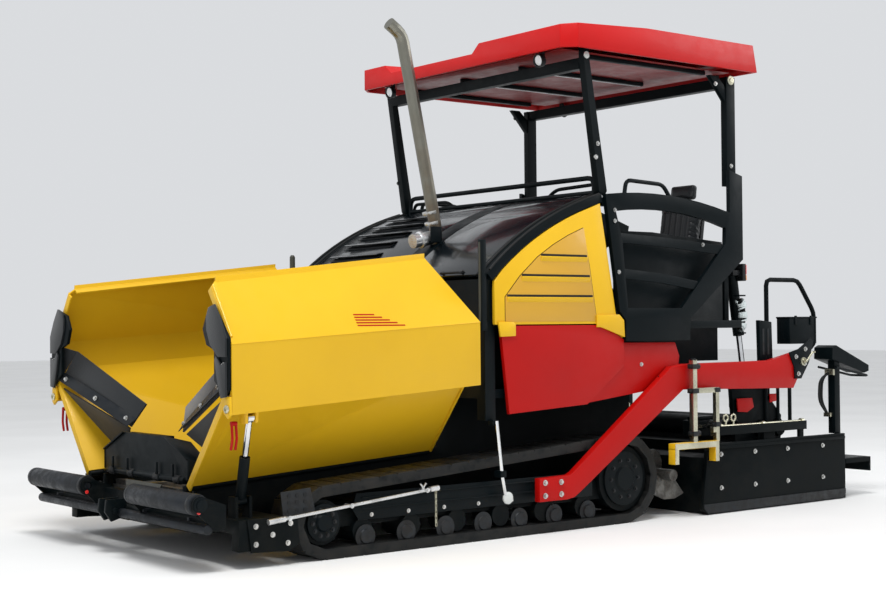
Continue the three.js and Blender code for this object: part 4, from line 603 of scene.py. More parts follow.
# %% [markdown]
# ## Hopper front: flaps, curtains and ears
#
# Rubber flaps keep the mix from spilling over the hopper's front edge. Each is clamped under a
# bolted steel strip, and a heavier curtain hangs from the floor's edge below it. The front plate
# carries two rounded rubber ears that overlap the wing's edge.

# %% Flap strips and floor curtains
def between(a, b, share):
    return tuple(Vector(a).lerp(Vector(b), share))


low_out, low_in = Vector((1.18, -2.99, 1.1)), Vector((0.372, -2.848, 0.795))
high_out, high_in = Vector((1.095, -2.905, 1.312)), Vector((0.302, -2.702, 0.932))
face = (low_in - low_out).cross(high_out - low_out).normalized()
face = face if face.y < 0 else -face
edge_out, edge_in = between(low_out, high_out, 0.3), between(low_in, high_in, 0.42)
strip = plate([low_out + face * 0.022, low_in + face * 0.022, Vector(edge_in) + face * 0.022,
               Vector(edge_out) + face * 0.022], face * 0.007)
pair("flap_strip", "*_wing", strip_steel, strip)
heads = []
for share in (0.08, 0.5, 0.92):
    spot = Vector(between(between(low_out, edge_out, 0.5), between(low_in, edge_in, 0.5), share))
    heads.append(bolt(spot + face * 0.029, face, 0.022))
pair("flap_bolts", "*_wing", bolt_metal, *heads, soften=0)
gusset = plate([(1.183, -2.996, 1.1), (1.092, -2.903, 1.314), (1.16, -2.997, 1.35)], (0.004, -0.01, 0))
pair("flap_gusset", "*_wing", flap_rubber, gusset)
corners = [Vector((1.165, -2.99, 1.05)), Vector((0.74, -2.7, 0.555)), Vector((0.4, -2.835, 0.785))]
curtain = plate(corners, (corners[1] - corners[0]).cross(corners[2] - corners[0]).normalized() * 0.01)
pair("curtain", "*_wing", flap_rubber, curtain)
ear_lines = ([(1.06, 1.6), (1.13, 1.62), (1.2, 1.53), (1.262, 1.42), (1.262, 1.3),
              (1.17, 1.3), (1.08, 1.37), (1.035, 1.46), (1.03, 1.54)],
             [(1.262, 1.27), (1.262, 1.06), (1.2, 1.05), (1.16, 1.16), (1.13, 1.28),
              (1.15, 1.31), (1.2, 1.25)])
ears = [plate([(x, -3.026, z) for x, z in line], (0, -0.014, 0)) for line in ear_lines]
pair("wing_ears", "*_wing", flap_rubber, *ears)
print("flap strips, curtains and ears on both wings")

# %% Wing brackets, the striped mark and the hinge lugs
lug = plate([(1.215, -3.018, 1.06), (1.274, -3.018, 1.06), (1.278, -3.018, 0.95),
             (1.25, -3.018, 0.925), (1.2, -3.018, 0.96)], (0, 0.016, 0))
pin = turned((1.245, -3.02, 0.985), (1.245, -3.034, 0.985), [(0, 0.0), (0, 0.026), (0.006, 0.026),
             (0.012, 0.02), (0.012, 0.012), (0.004, 0.012), (0.004, 0.0)])
pair("wing_lug", "*_wing", yellow_paint, lug)
pair("wing_lug_pin", "*_wing", zinc_metal, pin, soften=0)
pull = [tube(rounded([(1.205, y, 0.9), (1.215, y, 0.8), (1.195, y, 0.735)], 0.02), 0.009)
        for y in (-2.965, -2.935)]
grip = rod((1.205, -2.97, 0.895), (1.205, -2.93, 0.895), 0.014)
pair("red_spring", "*_wing", red_paint, *pull, grip)
for side, sign in SIDES:
    stripes = []
    for row in range(5):
        z = 1.552 - row * 0.0175
        y0, y1 = -2.06, -1.9 + row * 0.052
        hits = [landing(f"{side}_hopper_wing", (1.6 * sign, y, z), (-sign, 0, 0)) for y in (y0, y1)]
        (a, normal), (b, _) = hits
        up = normal.cross(Vector((0, 1, 0))).normalized() * 0.0045
        lift = normal * 0.0008
        stripes.append(plate([a + up + lift, b + up + lift, b - up + lift, a - up + lift], normal * 0.0012))
    piece(f"{side}_wing_stripes", f"{side}_wing", red_paint, *stripes, soften=0)
for side, sign in SIDES:
    name = f"{side}_hopper_wing"
    front = [landing(name, (1.6 * sign, -2.988, 1.42 + 0.045 * n), (-sign, 0, 0)) for n in range(8)]
    edge = [hit[0] + hit[1] * 0.002 for hit in front if hit]
    piece(f"{side}_wing_bead", f"{side}_wing", yellow_paint, tube(edge, 0.009, 8), soften=0)
print("wing lugs and striped marks")

# %% [markdown]
# ## Front end: nose plates, steps, reflectors and the beam's bracket
#
# The chassis nose ends in bolted plates. A perforated step hangs beside the track, and small red
# reflectors mark the roller ends.

# %% Nose end plates, steps and reflectors
nose = side_plate([(-2.86, 0.305), (-2.5, 0.305), (-2.48, 0.13), (-2.56, 0.087), (-2.83, 0.1)], 1.192,
                  1.204)
heads = [bolt((1.204, y, z), (1, 0, 0), 0.022)
         for y, z in ((-2.8, 0.26), (-2.8, 0.15), (-2.55, 0.26), (-2.57, 0.14), (-2.68, 0.2))]
pair("nose_plate", "machine", chassis_paint, nose)
pair("nose_bolts", "machine", bolt_metal, *heads, soften=0)
step = side_plate([(-2.62, 0.455), (-2.4, 0.47), (-2.36, 0.3), (-2.6, 0.285)], 1.196, 1.204)
holes = [rod((1.2035, y, z), (1.2065, y, z), 0.014, sides=12)
         for y in (-2.56, -2.5, -2.44) for z in (0.335, 0.385, 0.43)]
arm = box((1.1, 1.197), (-2.5, -2.46), (0.34, 0.38))
pair("step", "machine", steel_dark, join(step, arm))
pair("step_holes", "machine", black_plastic, *holes, soften=0)
beam_cap = turned((1.209, -3.185, 0.42), (1.235, -3.185, 0.42), [(0, 0), (0, 0.046),
                  (0.008, 0.046), (0.01, 0.03), (0.018, 0.03), (0.018, 0.0)])
pair("beam_cap", "push_beam", black_paint, beam_cap, soften=0)
lenses = [turned((x, -3.195, 0.378), (x + way * 0.008, -3.195, 0.378),
                 [(0, 0), (0, 0.013), (0.004, 0.012), (0.007, 0.0)], 16)
          for x, way in ((1.2105, 1), (0.3205, -1))]
# The reflectors glow faintly from the red lens finish: painted glow, as a reflector gives no light of its
# own.
pair("reflectors", "push_beam", red_glow_lens, *lenses, soften=0)
bumper = [rod((-1.205, -3.128, 0.268), (1.205, -3.128, 0.268), 0.031, sides=28)]
bumper += [box((x - 0.012, x + 0.012), (-3.125, -3.06), (0.262, 0.32)) for x in (-0.95, -0.35, 0.35, 0.95)]
piece("bumper_tube", "push_beam", roller_steel, *bumper, soften=0.002)
shackle = [side_plate([(-3.235, 0.36), (-3.1, 0.36), (-3.08, 0.25), (-3.2, 0.215), (-3.245, 0.28)], x,
                      x + 0.024)
           for x in (-0.062, 0.038)]
cross_pin = rod((-0.085, -3.18, 0.285), (0.085, -3.18, 0.285), 0.02)
piece("beam_shackle", "push_beam", black_paint, *shackle, cross_pin)
sill = plate([(-0.26, -2.94, 0.455), (0.26, -2.94, 0.455), (0.21, -2.965, 0.375), (-0.21, -2.965, 0.375)],
             (0, 0.01, 0))
piece("nose_sill", "machine", olive_paint, sill)
slope = plate([(0.3, -2.945, 0.776), (0.595, -2.945, 0.646), (0.655, -2.8, 0.6), (0.4, -2.8, 0.735)],
              (0, 0, -0.012))
cheek = plate([(0.595, -2.935, 0.64), (0.595, -2.935, 0.505), (0.655, -2.805, 0.505),
               (0.655, -2.805, 0.595)], (0.01, 0.004, 0))
ribs = [box((x, x + 0.02), (-2.958, -2.945), (0.52, 0.6)) for x in (0.2, 0.42)]
pair("apron_facets", "apron", black_paint, slope, cheek, *ribs, soften=0.003)
hinge_eyes = [rod((x, -2.925, 0.5), (x + 0.07, -2.925, 0.5), 0.03) for x in (-0.5, -0.22, 0.15, 0.43)]
piece("apron_hinge_eyes", "apron", steel_dark, *hinge_eyes, soften=0.003)
print("front end dressed")

# %% [markdown]
# ## Steering guide rod, tow gauge and chain
#
# A thin bright rod runs back from the nose as the driver's guide, clamped with a wing nut. The tow
# gauge is a chrome stem with a pale disc beside the tow point.

# %% Guide rod, its clamps and the chain
foot, tip = Vector((1.25, -2.719, 0.286)), Vector((1.25, -1.43, 0.399))
line = (tip - foot).normalized()
parts = [rod(foot, tip, 0.011), rod(foot - line * 0.02, foot + line * 0.1, 0.018)]
parts += [rod(tip - line * 0.06, tip + line * 0.01, 0.019)]
for share in (0.1, 0.46, 0.93):
    spot = foot.lerp(tip, share)
    parts.append(rod(spot - Vector((0.062, 0, 0)), spot + Vector((0.016, 0, 0)), 0.01))
    parts.append(bolt(spot + Vector((0.014, 0, 0)), (1, 0, 0), 0.02))
nut = foot.lerp(tip, 0.91)
for lean in (-1, 1):
    parts.append(tube(rounded([nut, nut + Vector((0, lean * 0.008, 0.03)),
                               nut + Vector((0, lean * 0.024, 0.048))], 0.01), 0.006))
links = []
for index in range(11):
    top = tip + Vector((0.0, -0.01, -0.02 - index * 0.021))
    bar = Vector((0.006, 0, 0)) if index % 2 else Vector((0, 0.006, 0))
    ring = [top + bar, top - bar, top - bar - Vector((0, 0, 0.022)), top + bar - Vector((0, 0, 0.022))]
    links.append(tube(ring, 0.0028, 4, closed=True))
piece("guide_rod", "machine", aluminium_metal, *parts, soften=0)
piece("guide_chain", "machine", zinc_metal, *links, soften=0)
stem = tube([(1.25, -0.907, 0.82), (1.25, -0.862, 0.433), (1.25, -0.835, 0.31)], 0.013, 12)
disc = turned((1.243, -0.81, 0.285), (1.262, -0.81, 0.285), [(0, 0), (0, 0.042), (0.012, 0.042),
              (0.016, 0.03), (0.016, 0.0)])
clamp = box((1.192, 1.266), (-0.885, -0.835), (0.43, 0.475))
mount = box((1.185, 1.24), (-0.93, -0.89), (0.785, 0.825))
pair("gauge_stem", "machine", chrome_metal, stem, soften=0)
pair("gauge_disc", "machine", pale_plastic, disc, soften=0)
pair("gauge_clamps", "machine", black_paint, join(clamp, mount))
print("guide rod and gauges made")

# %% [markdown]
# ## Tracks
#
# Between the idler and the sprocket the frame carries bottom rollers with dark rims and a black
# cover. The final drive hides behind a ring of bolts. The shoes come with the CAD part.

# %% Final drives, idler hubs, roller rims and side covers
hubs, heads = [], []
for y, z, radius in ((0.4, 0.33, 0.2), (-2.28, 0.235, 0.12)):
    hubs.append(turned((1.15, y, z), (1.19, y, z), [(0, 0), (0, radius), (0.016, radius),
                (0.022, radius * 0.86), (0.022, radius * 0.5), (0.036, radius * 0.42), (0.036, 0.0)]))
    for step in range(10):
        turn = step * pi / 5
        heads.append(bolt((1.171, y + cos(turn) * radius * 0.7, z + sin(turn) * radius * 0.7), (1, 0, 0),
                          0.02))
pair("track_hubs", "machine", black_paint, *hubs, soften=0)
pair("hub_bolts", "machine", steel_dark, *heads, soften=0)
rims = [turned((1.15, y, 0.118), (1.176, y, 0.118), [(0, 0), (0, 0.075), (0.01, 0.078), (0.014, 0.05),
        (0.024, 0.044), (0.024, 0.0)], 20) for y in [-1.95 + 0.33 * n for n in range(7)]]
pair("roller_rims", "machine", steel_dark, *rims, soften=0)
cover = side_plate([(-2.02, 0.4), (0.02, 0.4), (0.08, 0.34), (0.08, 0.225), (-2.0, 0.225), (-2.05, 0.3)],
                   1.15, 1.158)
ridge = [tube([(1.16, -1.98, z), (1.16, 0.04, z)], 0.006, 8) for z in (0.37, 0.3)]
pair("track_cover", "machine", black_paint, join(cover, *ridge))
cover_heads = [bolt((1.158, -1.9 + 0.3 * n, 0.255), (1, 0, 0), 0.018) for n in range(7)]
pair("cover_bolts", "machine", bolt_metal, *cover_heads, soften=0)
print("track hubs, rims and covers made")

# %% [markdown]
# ## Service doors
#
# The door follows the hood's curve. Its louvre field is a thin pressed panel, painted a darker
# yellow than the door as painted shade for the inset, with three lips that shed rain over dark
# slots, black strips painted as shadow lines. Two blocks at the bottom hold the door to the red panel
# below.

# %% Louvre field, lips and door blocks
FIELD = [(-0.806, 1.5), (-0.806, 1.671), (-0.665, 1.82), (-0.5, 1.955), (-0.35, 2.045),
         (-0.2, 2.118), (-0.054, 2.174), (0.000, 1.9), (0.069, 1.5)]
REAR_BLOCK = [(0.062, 1.545), (0.29, 1.548), (0.338, 1.505), (0.345, 1.38), (0.105, 1.455), (0.062, 1.455)]


def field_span(z):
    """The front and rear ends of the louvre field at a height."""
    front = next(a[0] + (b[0] - a[0]) * (z - a[1]) / (b[1] - a[1])
                 for a, b in zip(FIELD[1:], FIELD[2:]) if a[1] <= z <= b[1])
    return front + 0.012, -0.054 + (2.174 - z) / 0.68 * 0.123 - 0.01


grown = [(y + (0.004 if y > -0.03 else -0.004), z + 0.003) for y, z in FIELD]
rim = side_plate(grown, 1.234, 1.2362)
field = side_plate(FIELD, 1.234, 1.2385)
lips, slots = [], []
for z in (1.965, 1.82, 1.675):
    y0, y1 = field_span(z)
    # Each black slot strip is a painted shadow line above its lip.
    slots.append(box((1.237, 1.2402), (y0, y1), (z - 0.002, z + 0.014)))
    lips.append(plate([(1.237, y0, z - 0.001), (1.252, y0, z - 0.006), (1.238, y0, z - 0.04)],
                      (0, y1 - y0, 0)))
front = side_plate([(-0.88, 1.5), (-0.74, 1.5), (-0.722, 1.48), (-0.722, 1.4), (-0.862, 1.396)], 1.234,
                   1.251)
rear = side_plate(REAR_BLOCK, 1.234, 1.249)
body = "*_door"
pair("louvre_rim", body, black_paint, rim, soften=0)
# The louvre field's darker yellow is painted shade for the inset.
pair("louvre_field", body, inset_shade_yellow, field, soften=0.001)
# The slot strips are black as painted shadow lines.
pair("louvre_shadow_slots", body, black_plastic, *slots, soften=0)
pair("louvre_lips", body, yellow_paint, *lips, soften=0.001)
pair("door_blocks", body, yellow_paint, front, rear, soften=0.004)
slot = box((1.2345, 1.2362), (0.7, 0.9), (1.06, 1.085))
pair("fender_slot", "machine", black_plastic, slot, soften=0.002)
print("doors have louvres")

# %% [markdown]
# ## Hood
#
# A double rubber seal runs along each edge of the hood. The right lid breathes through five wide
# louvres, and each lid has a grab handle at its front.

# %% Hood seals, louvres and handles
for side, sign in SIDES:
    for index, x in enumerate((1.15, 1.222)):
        rows = [landing("engine_bay_frame", (x * sign, -0.93 + 0.05 * n, 3.0), DOWN) for n in range(22)]
        line = [place + normal * 0.003 for place, normal in (row for row in rows if row)]
        line = [p for p in line if p.z > 1.75]
        piece(f"{side}_hood_seal_{index}", "machine", hose_rubber, tube(line, 0.01, 8), soften=0)
    lid = f"{side}_hood_lid"
    ends = [landing(lid, (x * sign, -1.6, 1.845), BACK)[0] for x in (0.73, 0.95)]
    out = Vector((0, -0.035, 0.004))
    bar = rounded([ends[0], ends[0] + out, ends[1] + out, ends[1]], 0.015)
    pads = [rod(end, end + Vector((0, -0.006, 0)), 0.018) for end in ends]
    piece(f"{side}_lid_handle", f"{side}_lid", black_plastic, tube(bar, 0.009, 12), *pads, soften=0)
louvres, vents = [], []
for y in (-0.74, -0.6, -0.46, -0.32, -0.18):
    place, normal = landing("right_hood_lid", (-0.62, y, 3.2), DOWN)
    run = normal.cross(Vector((1, 0, 0))).normalized()
    run = run if run.y > 0 else -run
    left, right = Vector((-0.98, place.y, place.z)), Vector((-0.34, place.y, place.z))
    lift = normal * 0.002
    vents.append(plate([left - run * 0.035 + lift, right - run * 0.035 + lift,
                        right + run * 0.012 + lift, left + run * 0.012 + lift], normal * 0.003))
    blade = [left + run * 0.055, left + run * 0.055 + normal * 0.004, left + run * 0.005 + normal * 0.03,
             left - run * 0.012 + normal * 0.032, left - run * 0.012 + normal * 0.024]
    louvres.append(plate(blade, right - left))
piece("right_lid_louvres", "right_lid", hood_paint, *louvres, soften=0.001)
piece("right_lid_vents", "right_lid", black_plastic, *vents, soften=0)
hoop = rounded([(1.125, 0.205, 2.36), (1.125, 0.205, 2.515), (0.66, 0.205, 2.505), (0.56, 0.205, 2.44)],
               0.06)
pair("front_hoop", "machine", black_paint, tube(hoop, 0.014, 12), soften=0)
print("hood seals, handles and louvres made")

# %% [markdown]
# ## Exhaust
#
# The pipe leaves the silencer under the hood through a flanged stub, held by a band clamp and a
# small bracket.

# %% Exhaust stub, clamps and bracket
stub = turned((0.2, -0.585, 2.15), (0.2, -0.83, 2.105), [(0, 0), (0, 0.052), (0.15, 0.052), (0.155, 0.064),
              (0.175, 0.064), (0.18, 0.052), (0.24, 0.052), (0.24, 0.0)])
piece("exhaust_stub", "machine", aluminium_metal, stub, soften=0)
pipe_low, pipe_high = Vector((0.2, -0.6, 2.1)), Vector((0.2, -0.965, 3.5))
bands = []
for share in (0.1, 0.155):
    spot = pipe_low.lerp(pipe_high, share)
    line = (pipe_high - pipe_low).normalized()
    bands.append(turned(spot, spot + line * 0.03, [(0, 0.0), (0, 0.0535), (0.004, 0.055), (0.018, 0.055),
                 (0.022, 0.0535), (0.022, 0.0)]))
    bands.append(bolt(spot + Vector((0.055, 0, 0.01)), (1, 0, 0), 0.016))
piece("exhaust_bands", "machine", bolt_metal, *bands, soften=0)
angle = [box((0.26, 0.272), (-0.7, -0.6), (2.1, 2.22)), box((0.2, 0.272), (-0.7, -0.6), (2.1, 2.112))]
piece("exhaust_bracket", "machine", black_paint, *angle)
sight = turned((1.2, -0.985, 1.5), (1.2, -0.985, 2.06), [(0, 0), (0, 0.024), (0.545, 0.022),
               (0.56, 0.012), (0.56, 0)], 16)
pair("sight_post", "machine", olive_paint, sight, soften=0)
print("exhaust and sight posts dressed")

# %% [markdown]
# ## Canopy
#
# Under the red roof a flat lining hides the frame; its darker red is painted shade for the
# underside. Black stringers run along it, the posts end in pivot discs, and work lights hang at the
# corners.

# %% Canopy lining, stringers, pivots and lights
lining = box((-1.1, 1.1), (-0.13, 1.7), (3.484, 3.49))
# The lining's darker red is painted shade on the roof's underside.
piece("canopy_lining", "canopy_roof", roof_shade_red, lining)
stringers = [box((x - 0.022, x + 0.022), (0.12, 1.46), (3.452, 3.484)) for x in (-1.04, -0.36, 0.36, 1.04)]
piece("canopy_stringers", "canopy_roof", black_paint, *stringers)
strips = [box((x - 0.008, x + 0.008), (0.14, 1.44), (3.446, 3.452)) for x in (-0.36, 0.36)]
piece("canopy_strips", "canopy_roof", aluminium_metal, *strips, soften=0.001)
for side, sign in SIDES:
    cap = box((1.153, 1.209), (-0.008, 0.042), (3.415, 3.5))
    piece(f"{side}_post_cap", "canopy_front", black_paint, across(cap, sign), soften=0.004)
    disc = turned((1.208, 0.018, 3.44), (1.222, 0.018, 3.44), [(0, 0), (0, 0.026), (0.006, 0.026),
                  (0.008, 0.014), (0.013, 0.012), (0.013, 0)])
    piece(f"{side}_front_pivot", "canopy_front", pale_plastic, across(disc, sign), soften=0)
    rear_disc = turned((1.21, 1.586, 3.4), (1.224, 1.586, 3.4), [(0, 0), (0, 0.036), (0.006, 0.036),
                       (0.008, 0.018), (0.014, 0.016), (0.014, 0)])
    piece(f"{side}_rear_pivot", "canopy_rear", zinc_metal, across(rear_disc, sign), soften=0)
    for name, x, y, way in (("front", 0.925, -0.15, -1), ("rear", 0.925, 1.735, 1)):
        shell = turned((x, y, 3.425), (x, y + way * 0.055, 3.415), [(0, 0), (0, 0.03), (0.012, 0.046),
                       (0.045, 0.05), (0.055, 0.05), (0.055, 0.043), (0.04, 0.04), (0.04, 0.0)])
        glass = turned((x, y + way * 0.041, 3.42), (x, y + way * 0.054, 3.417), [(0, 0), (0, 0.039),
                       (0.006, 0.036), (0.01, 0.02), (0.011, 0)])
        hanger = box((x - 0.02, x + 0.02), (min(y, y + way * 0.02), max(y, y + way * 0.02)), (3.455, 3.49))
        piece(f"{side}_{name}_lamp", "canopy_roof", black_plastic, across(join(shell, hanger), sign),
              soften=0)
        piece(f"{side}_{name}_glass", "canopy_roof", clear_lens, across(glass, sign), soften=0)
print("canopy finished underneath")

# %% [markdown]
# ## Seats
#
# Each cushion starts as a rounded block a little smaller than it should end up. A short cloth
# simulation blows it up from inside, as foam fills a cover, and the movement is capped so that the
# shape stays true. Grooves are pressed in afterwards.

# %% One stuffed cushion
GROOVE_HALF_WIDTH = 0.012
GROOVE_DEPTH = 0.007
LAST_MOMENT = 20


def stuffed(shape, grooves=(), most=0.024):
    """Blows a block up like a filled cover and presses grooves along the given x places."""
    scene = bpy.context.scene
    block = bpy.data.meshes.new("cushion")
    shape.to_mesh(block)
    shape.free()
    holder = bpy.data.objects.new("cushion", block)
    scene.collection.objects.link(holder)
    remesh = holder.modifiers.new("remesh", "REMESH")
    remesh.mode = "VOXEL"
    remesh.voxel_size = 0.006
    graph = bpy.context.evaluated_depsgraph_get()
    even = bpy.data.meshes.new_from_object(holder.evaluated_get(graph))
    holder.modifiers.clear()
    holder.data = even
    start = [vertex.co.copy() for vertex in even.vertices]
    cloth = holder.modifiers.new("cloth", "CLOTH")
    cloth.settings.quality = 4
    cloth.settings.use_pressure = True
    cloth.settings.uniform_pressure_force = 4.0
    cloth.settings.effector_weights.gravity = 0.0
    cloth.collision_settings.use_collision = False
    for moment in range(1, LAST_MOMENT + 1):
        scene.frame_set(moment)
    graph = bpy.context.evaluated_depsgraph_get()
    blown = bpy.data.meshes.new_from_object(holder.evaluated_get(graph))
    for vertex, place in zip(blown.vertices, start):
        step = vertex.co - place
        vertex.co = place + step * min(1.0, most / max(step.length, 0.0001))
    holder.modifiers.clear()
    holder.data = blown
    scene.frame_set(1)
    mesh = bmesh.new()
    mesh.from_mesh(holder.data)
    bpy.data.objects.remove(holder)
    bmesh.ops.recalc_face_normals(mesh, faces=mesh.faces)
    for vertex in mesh.verts:
        for x in grooves:
            near = abs(vertex.co.x - x) / GROOVE_HALF_WIDTH
            if near < 1.0:
                vertex.co -= vertex.normal * GROOVE_DEPTH * (1.0 - near * near)
    return mesh


def soft_block(outline, x0, x1, edge):
    """A block from a side outline, rounded before it is stuffed."""
    mesh = side_plate(outline, x0, x1)
    bmesh.ops.recalc_face_normals(mesh, faces=mesh.faces)
    bmesh.ops.bevel(mesh, geom=mesh.edges[:], offset=edge, segments=4, profile=0.5, affect="EDGES",
                    material=-1)
    return mesh


print("cushions can be stuffed")

# %% Two seats on their pedestals
BASE = [(0.985, 1.855), (1.385, 1.865), (1.385, 1.945), (0.985, 1.94)]
BACK_REST = [(1.385, 1.96), (1.47, 1.94), (1.545, 2.415), (1.465, 2.43)]
HEAD_REST = [(1.475, 2.48), (1.545, 2.475), (1.56, 2.59), (1.5, 2.6)]
cushions = {
    "base": stuffed(soft_block(BASE, 0.545, 0.975, 0.028), (0.66, 0.86), 0.022),
    "back": stuffed(soft_block(BACK_REST, 0.55, 0.97, 0.028), (0.64, 0.7, 0.76, 0.82, 0.88), 0.022),
    "head": stuffed(soft_block(HEAD_REST, 0.635, 0.885, 0.024), (), 0.022),
}
for side, sign in SIDES:
    for part, mesh in cushions.items():
        pad = piece(f"{side}_seat_{part}", "machine", seat_vinyl, across(mesh.copy(), sign), soften=0)
        if part == "base":
            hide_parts(f"{side}_seat")
stems = [rod((x, 1.505, 2.4), (x, 1.515, 2.5), 0.008) for x in (0.7, 0.82)]
pan = [box((0.56, 0.96), (0.99, 1.4), (1.825, 1.853)), box((0.62, 0.9), (1.03, 1.34), (1.7, 1.825))]
shell = side_plate([(1.4, 1.84), (1.5, 1.84), (1.585, 2.4), (1.555, 2.41), (1.475, 1.92)], 0.58, 0.94)
arms = []
for x in (0.5, 0.985):
    arms.append(box((x, x + 0.035), (1.06, 1.36), (2.085, 2.115)))
    arms.append(rod((x + 0.018, 1.36, 2.095), (x + 0.018, 1.47, 2.03), 0.012))
pair("seat_frame", "machine", black_plastic, *stems, *pan, shell, *arms)
buckle = [box((0.985, 1.000), (1.395, 1.425), (1.93, 2.02)),
          box((0.53, 0.545), (1.395, 1.425), (1.93, 2.00))]
# The red buckles glow faintly from the red lens finish: painted glow.
pair("seat_buckles", "machine", red_glow_lens, *buckle)
print("seats made")

# %% [markdown]
# ## Operator's console and platform fittings
#
# The console carries a display, two levers and rows of push buttons at each seat.

# %% Console displays, levers and buttons
for side, sign in SIDES:
    plates, knobs, sticks, reds = [], [], [], []
    for x in (0.75, 0.28):
        place, normal = landing("control_console", (x * sign, 0.4, 2.8), DOWN)
        run = normal.cross(Vector((1, 0, 0))).normalized()
        wide = Vector((0.15, 0, 0))
        plates.append(plate([place - wide - run * 0.1 + normal * 0.001,
                             place + wide - run * 0.1 + normal * 0.001,
                             place + wide + run * 0.1 + normal * 0.001,
                             place - wide + run * 0.1 + normal * 0.001],
                            normal * 0.012))
        for column in range(6):
            for row in (-0.06, -0.02):
                spot = place + Vector((-0.12 + column * 0.035, 0, 0)) + run * row + normal * 0.012
                (reds if (column, row) == (5, -0.06) else knobs).append(rod(spot, spot + normal * 0.01,
                        0.01, sides=12))
        for lean in (-0.07, 0.07):
            foot = place + Vector((lean, 0, 0)) + run * 0.05 + normal * 0.01
            tip = foot + Vector((0, 0.015, 0.105))
            sticks.append(rod(foot, tip, 0.006, 0.005, 10))
            sticks.append(turned(tip - Vector((0, 0, 0.012)), tip + Vector((0, 0, 0.02)),
                                 [(0, 0), (0, 0.008),
                          (0.01, 0.016), (0.022, 0.015), (0.03, 0.007), (0.031, 0)], 14))
    piece(f"{side}_console_panels", "machine", black_plastic, *plates, soften=0.002)
    piece(f"{side}_console_buttons", "machine", pale_plastic, *knobs, soften=0)
    # The red stop buttons glow faintly from the red lens finish: painted glow.
    piece(f"{side}_console_stops", "machine", red_glow_lens, *reds, soften=0)
    piece(f"{side}_console_levers", "machine", black_plastic, *sticks, soften=0)
screen = box((0.42, 0.6), (0.255, 0.285), (2.335, 2.46))
screen_stand = rod((0.51, 0.27, 2.3), (0.51, 0.27, 2.345), 0.014)
glass = box((0.435, 0.585), (0.285, 0.288), (2.35, 2.445))
pair("console_screen", "machine", black_plastic, join(screen, screen_stand))
pair("console_glass", "machine", screen_glass, glass, soften=0.001)
lens = box((1.074, 1.142), (1.818, 1.836), (1.868, 1.946))
amber = box((1.074, 1.142), (1.818, 1.836), (1.822, 1.864))
case = [box((1.068, 1.148), (1.78, 1.82), (1.815, 1.953)), box((1.08, 1.125), (1.69, 1.785), (1.86, 1.9))]
pair("tail_lens", "machine", red_glow_lens, lens, soften=0.003)
pair("tail_amber", "machine", amber_lens, amber, soften=0.003)
pair("tail_case", "machine", black_plastic, *case)
print("console and tail lights made")

# %% [markdown]
# ## Tow arms
#
# The arms end in a bolted bracket with a crank that sets the angle of the screed.

# %% Rear brackets and cranks
bracket = side_plate([(2.18, 1.235), (2.3, 1.262), (2.455, 1.345), (2.49, 1.33), (2.43, 1.15),
                      (2.33, 1.02), (2.25, 1.02), (2.24, 1.12)], 1.273, 1.284)
heads = [bolt((1.284, y, z), (1, 0, 0), 0.024) for y,
         z in ((2.26, 1.2), (2.38, 1.26), (2.29, 1.06), (2.37, 1.14))]
crank = tube(rounded([(1.3, 2.35, 1.16), (1.322, 2.35, 1.16), (1.322, 2.43, 1.235), (1.345, 2.43, 1.235)],
                     0.01), 0.008)
boss = turned((1.284, 2.35, 1.16), (1.315, 2.35, 1.16), [(0, 0), (0, 0.034), (0.012, 0.034), (0.014, 0.022),
              (0.028, 0.02), (0.028, 0)])
pair("arm_bracket", "screed", black_paint, bracket)
pair("arm_bolts", "screed", bolt_metal, *heads, soften=0)
pair("arm_crank", "screed", zinc_metal, join(crank, boss), soften=0)
print("tow arms finished")

# %% [markdown]
# ## Screed
#
# The screed carries slotted covers, red brackets for the levelling gear, a zinc spreader bar on
# each end plate and hoses in a pale spiral guard that are clipped to the machine.

# %% Slotted covers, red brackets and hose guard
SPIRAL_STEPS = 180
STEPS_PER_TURN = 10
SPIRAL_RADIUS = 0.03
cover = side_plate([(1.955, 1.5), (2.11, 1.485), (2.12, 1.14), (1.965, 1.14)], 1.125, 1.165)
slots = [box((1.1645, 1.1675), (1.99 + 0.06 * n, 2.012 + 0.06 * n), (1.22, 1.43)) for n in range(2)]
case = box((0.985, 1.12), (2.39, 2.74), (1.3, 1.515))
lid = box((0.98, 1.125), (2.385, 2.745), (1.512, 1.526))
latch = [box((1.119, 1.128), (y, y + 0.03), (1.46, 1.535)) for y in (2.45, 2.65)]
red = [side_plate([(1.68, 0.875), (1.86, 0.875), (1.88, 0.8), (1.8, 0.762), (1.69, 0.77)], 1.15, 1.162),
       side_plate([(2.08, 0.9), (2.16, 0.9), (2.16, 0.84), (2.08, 0.83)], 1.15, 1.162)]
bars = [box((1.02, 1.152), (1.74, 1.8), (0.8, 0.84)), box((1.02, 1.152), (2.1, 2.14), (0.85, 0.88))]
pair("screed_cover", "screed", black_paint, cover, soften=0.006)
pair("cover_slots", "screed", steel_dark, *slots, soften=0)
pair("tool_case", "screed", black_paint, case, lid, *latch, soften=0.004)
pair("red_brackets", "screed", red_paint, *red)
pair("bracket_arms", "screed", black_paint, *bars)
path = rounded([(1.165, 1.712, 1.665), (1.165, 1.748, 1.625), (1.17, 1.752, 1.54), (1.165, 1.748, 1.455),
                (1.165, 1.712, 1.432)], 0.02)
spiral = []
for index in range(SPIRAL_STEPS + 1):
    spot = index / SPIRAL_STEPS * (len(path) - 1.001)
    a, b = path[int(spot)], path[int(spot) + 1]
    middle = a.lerp(b, spot - int(spot))
    flow = (b - a).normalized()
    aside = flow.cross(Vector((1, 0, 0))).normalized()
    angle = index * 2 * pi / STEPS_PER_TURN
    around = aside * cos(angle) * SPIRAL_RADIUS + flow.cross(aside) * sin(angle) * SPIRAL_RADIUS
    spiral.append(middle + around)
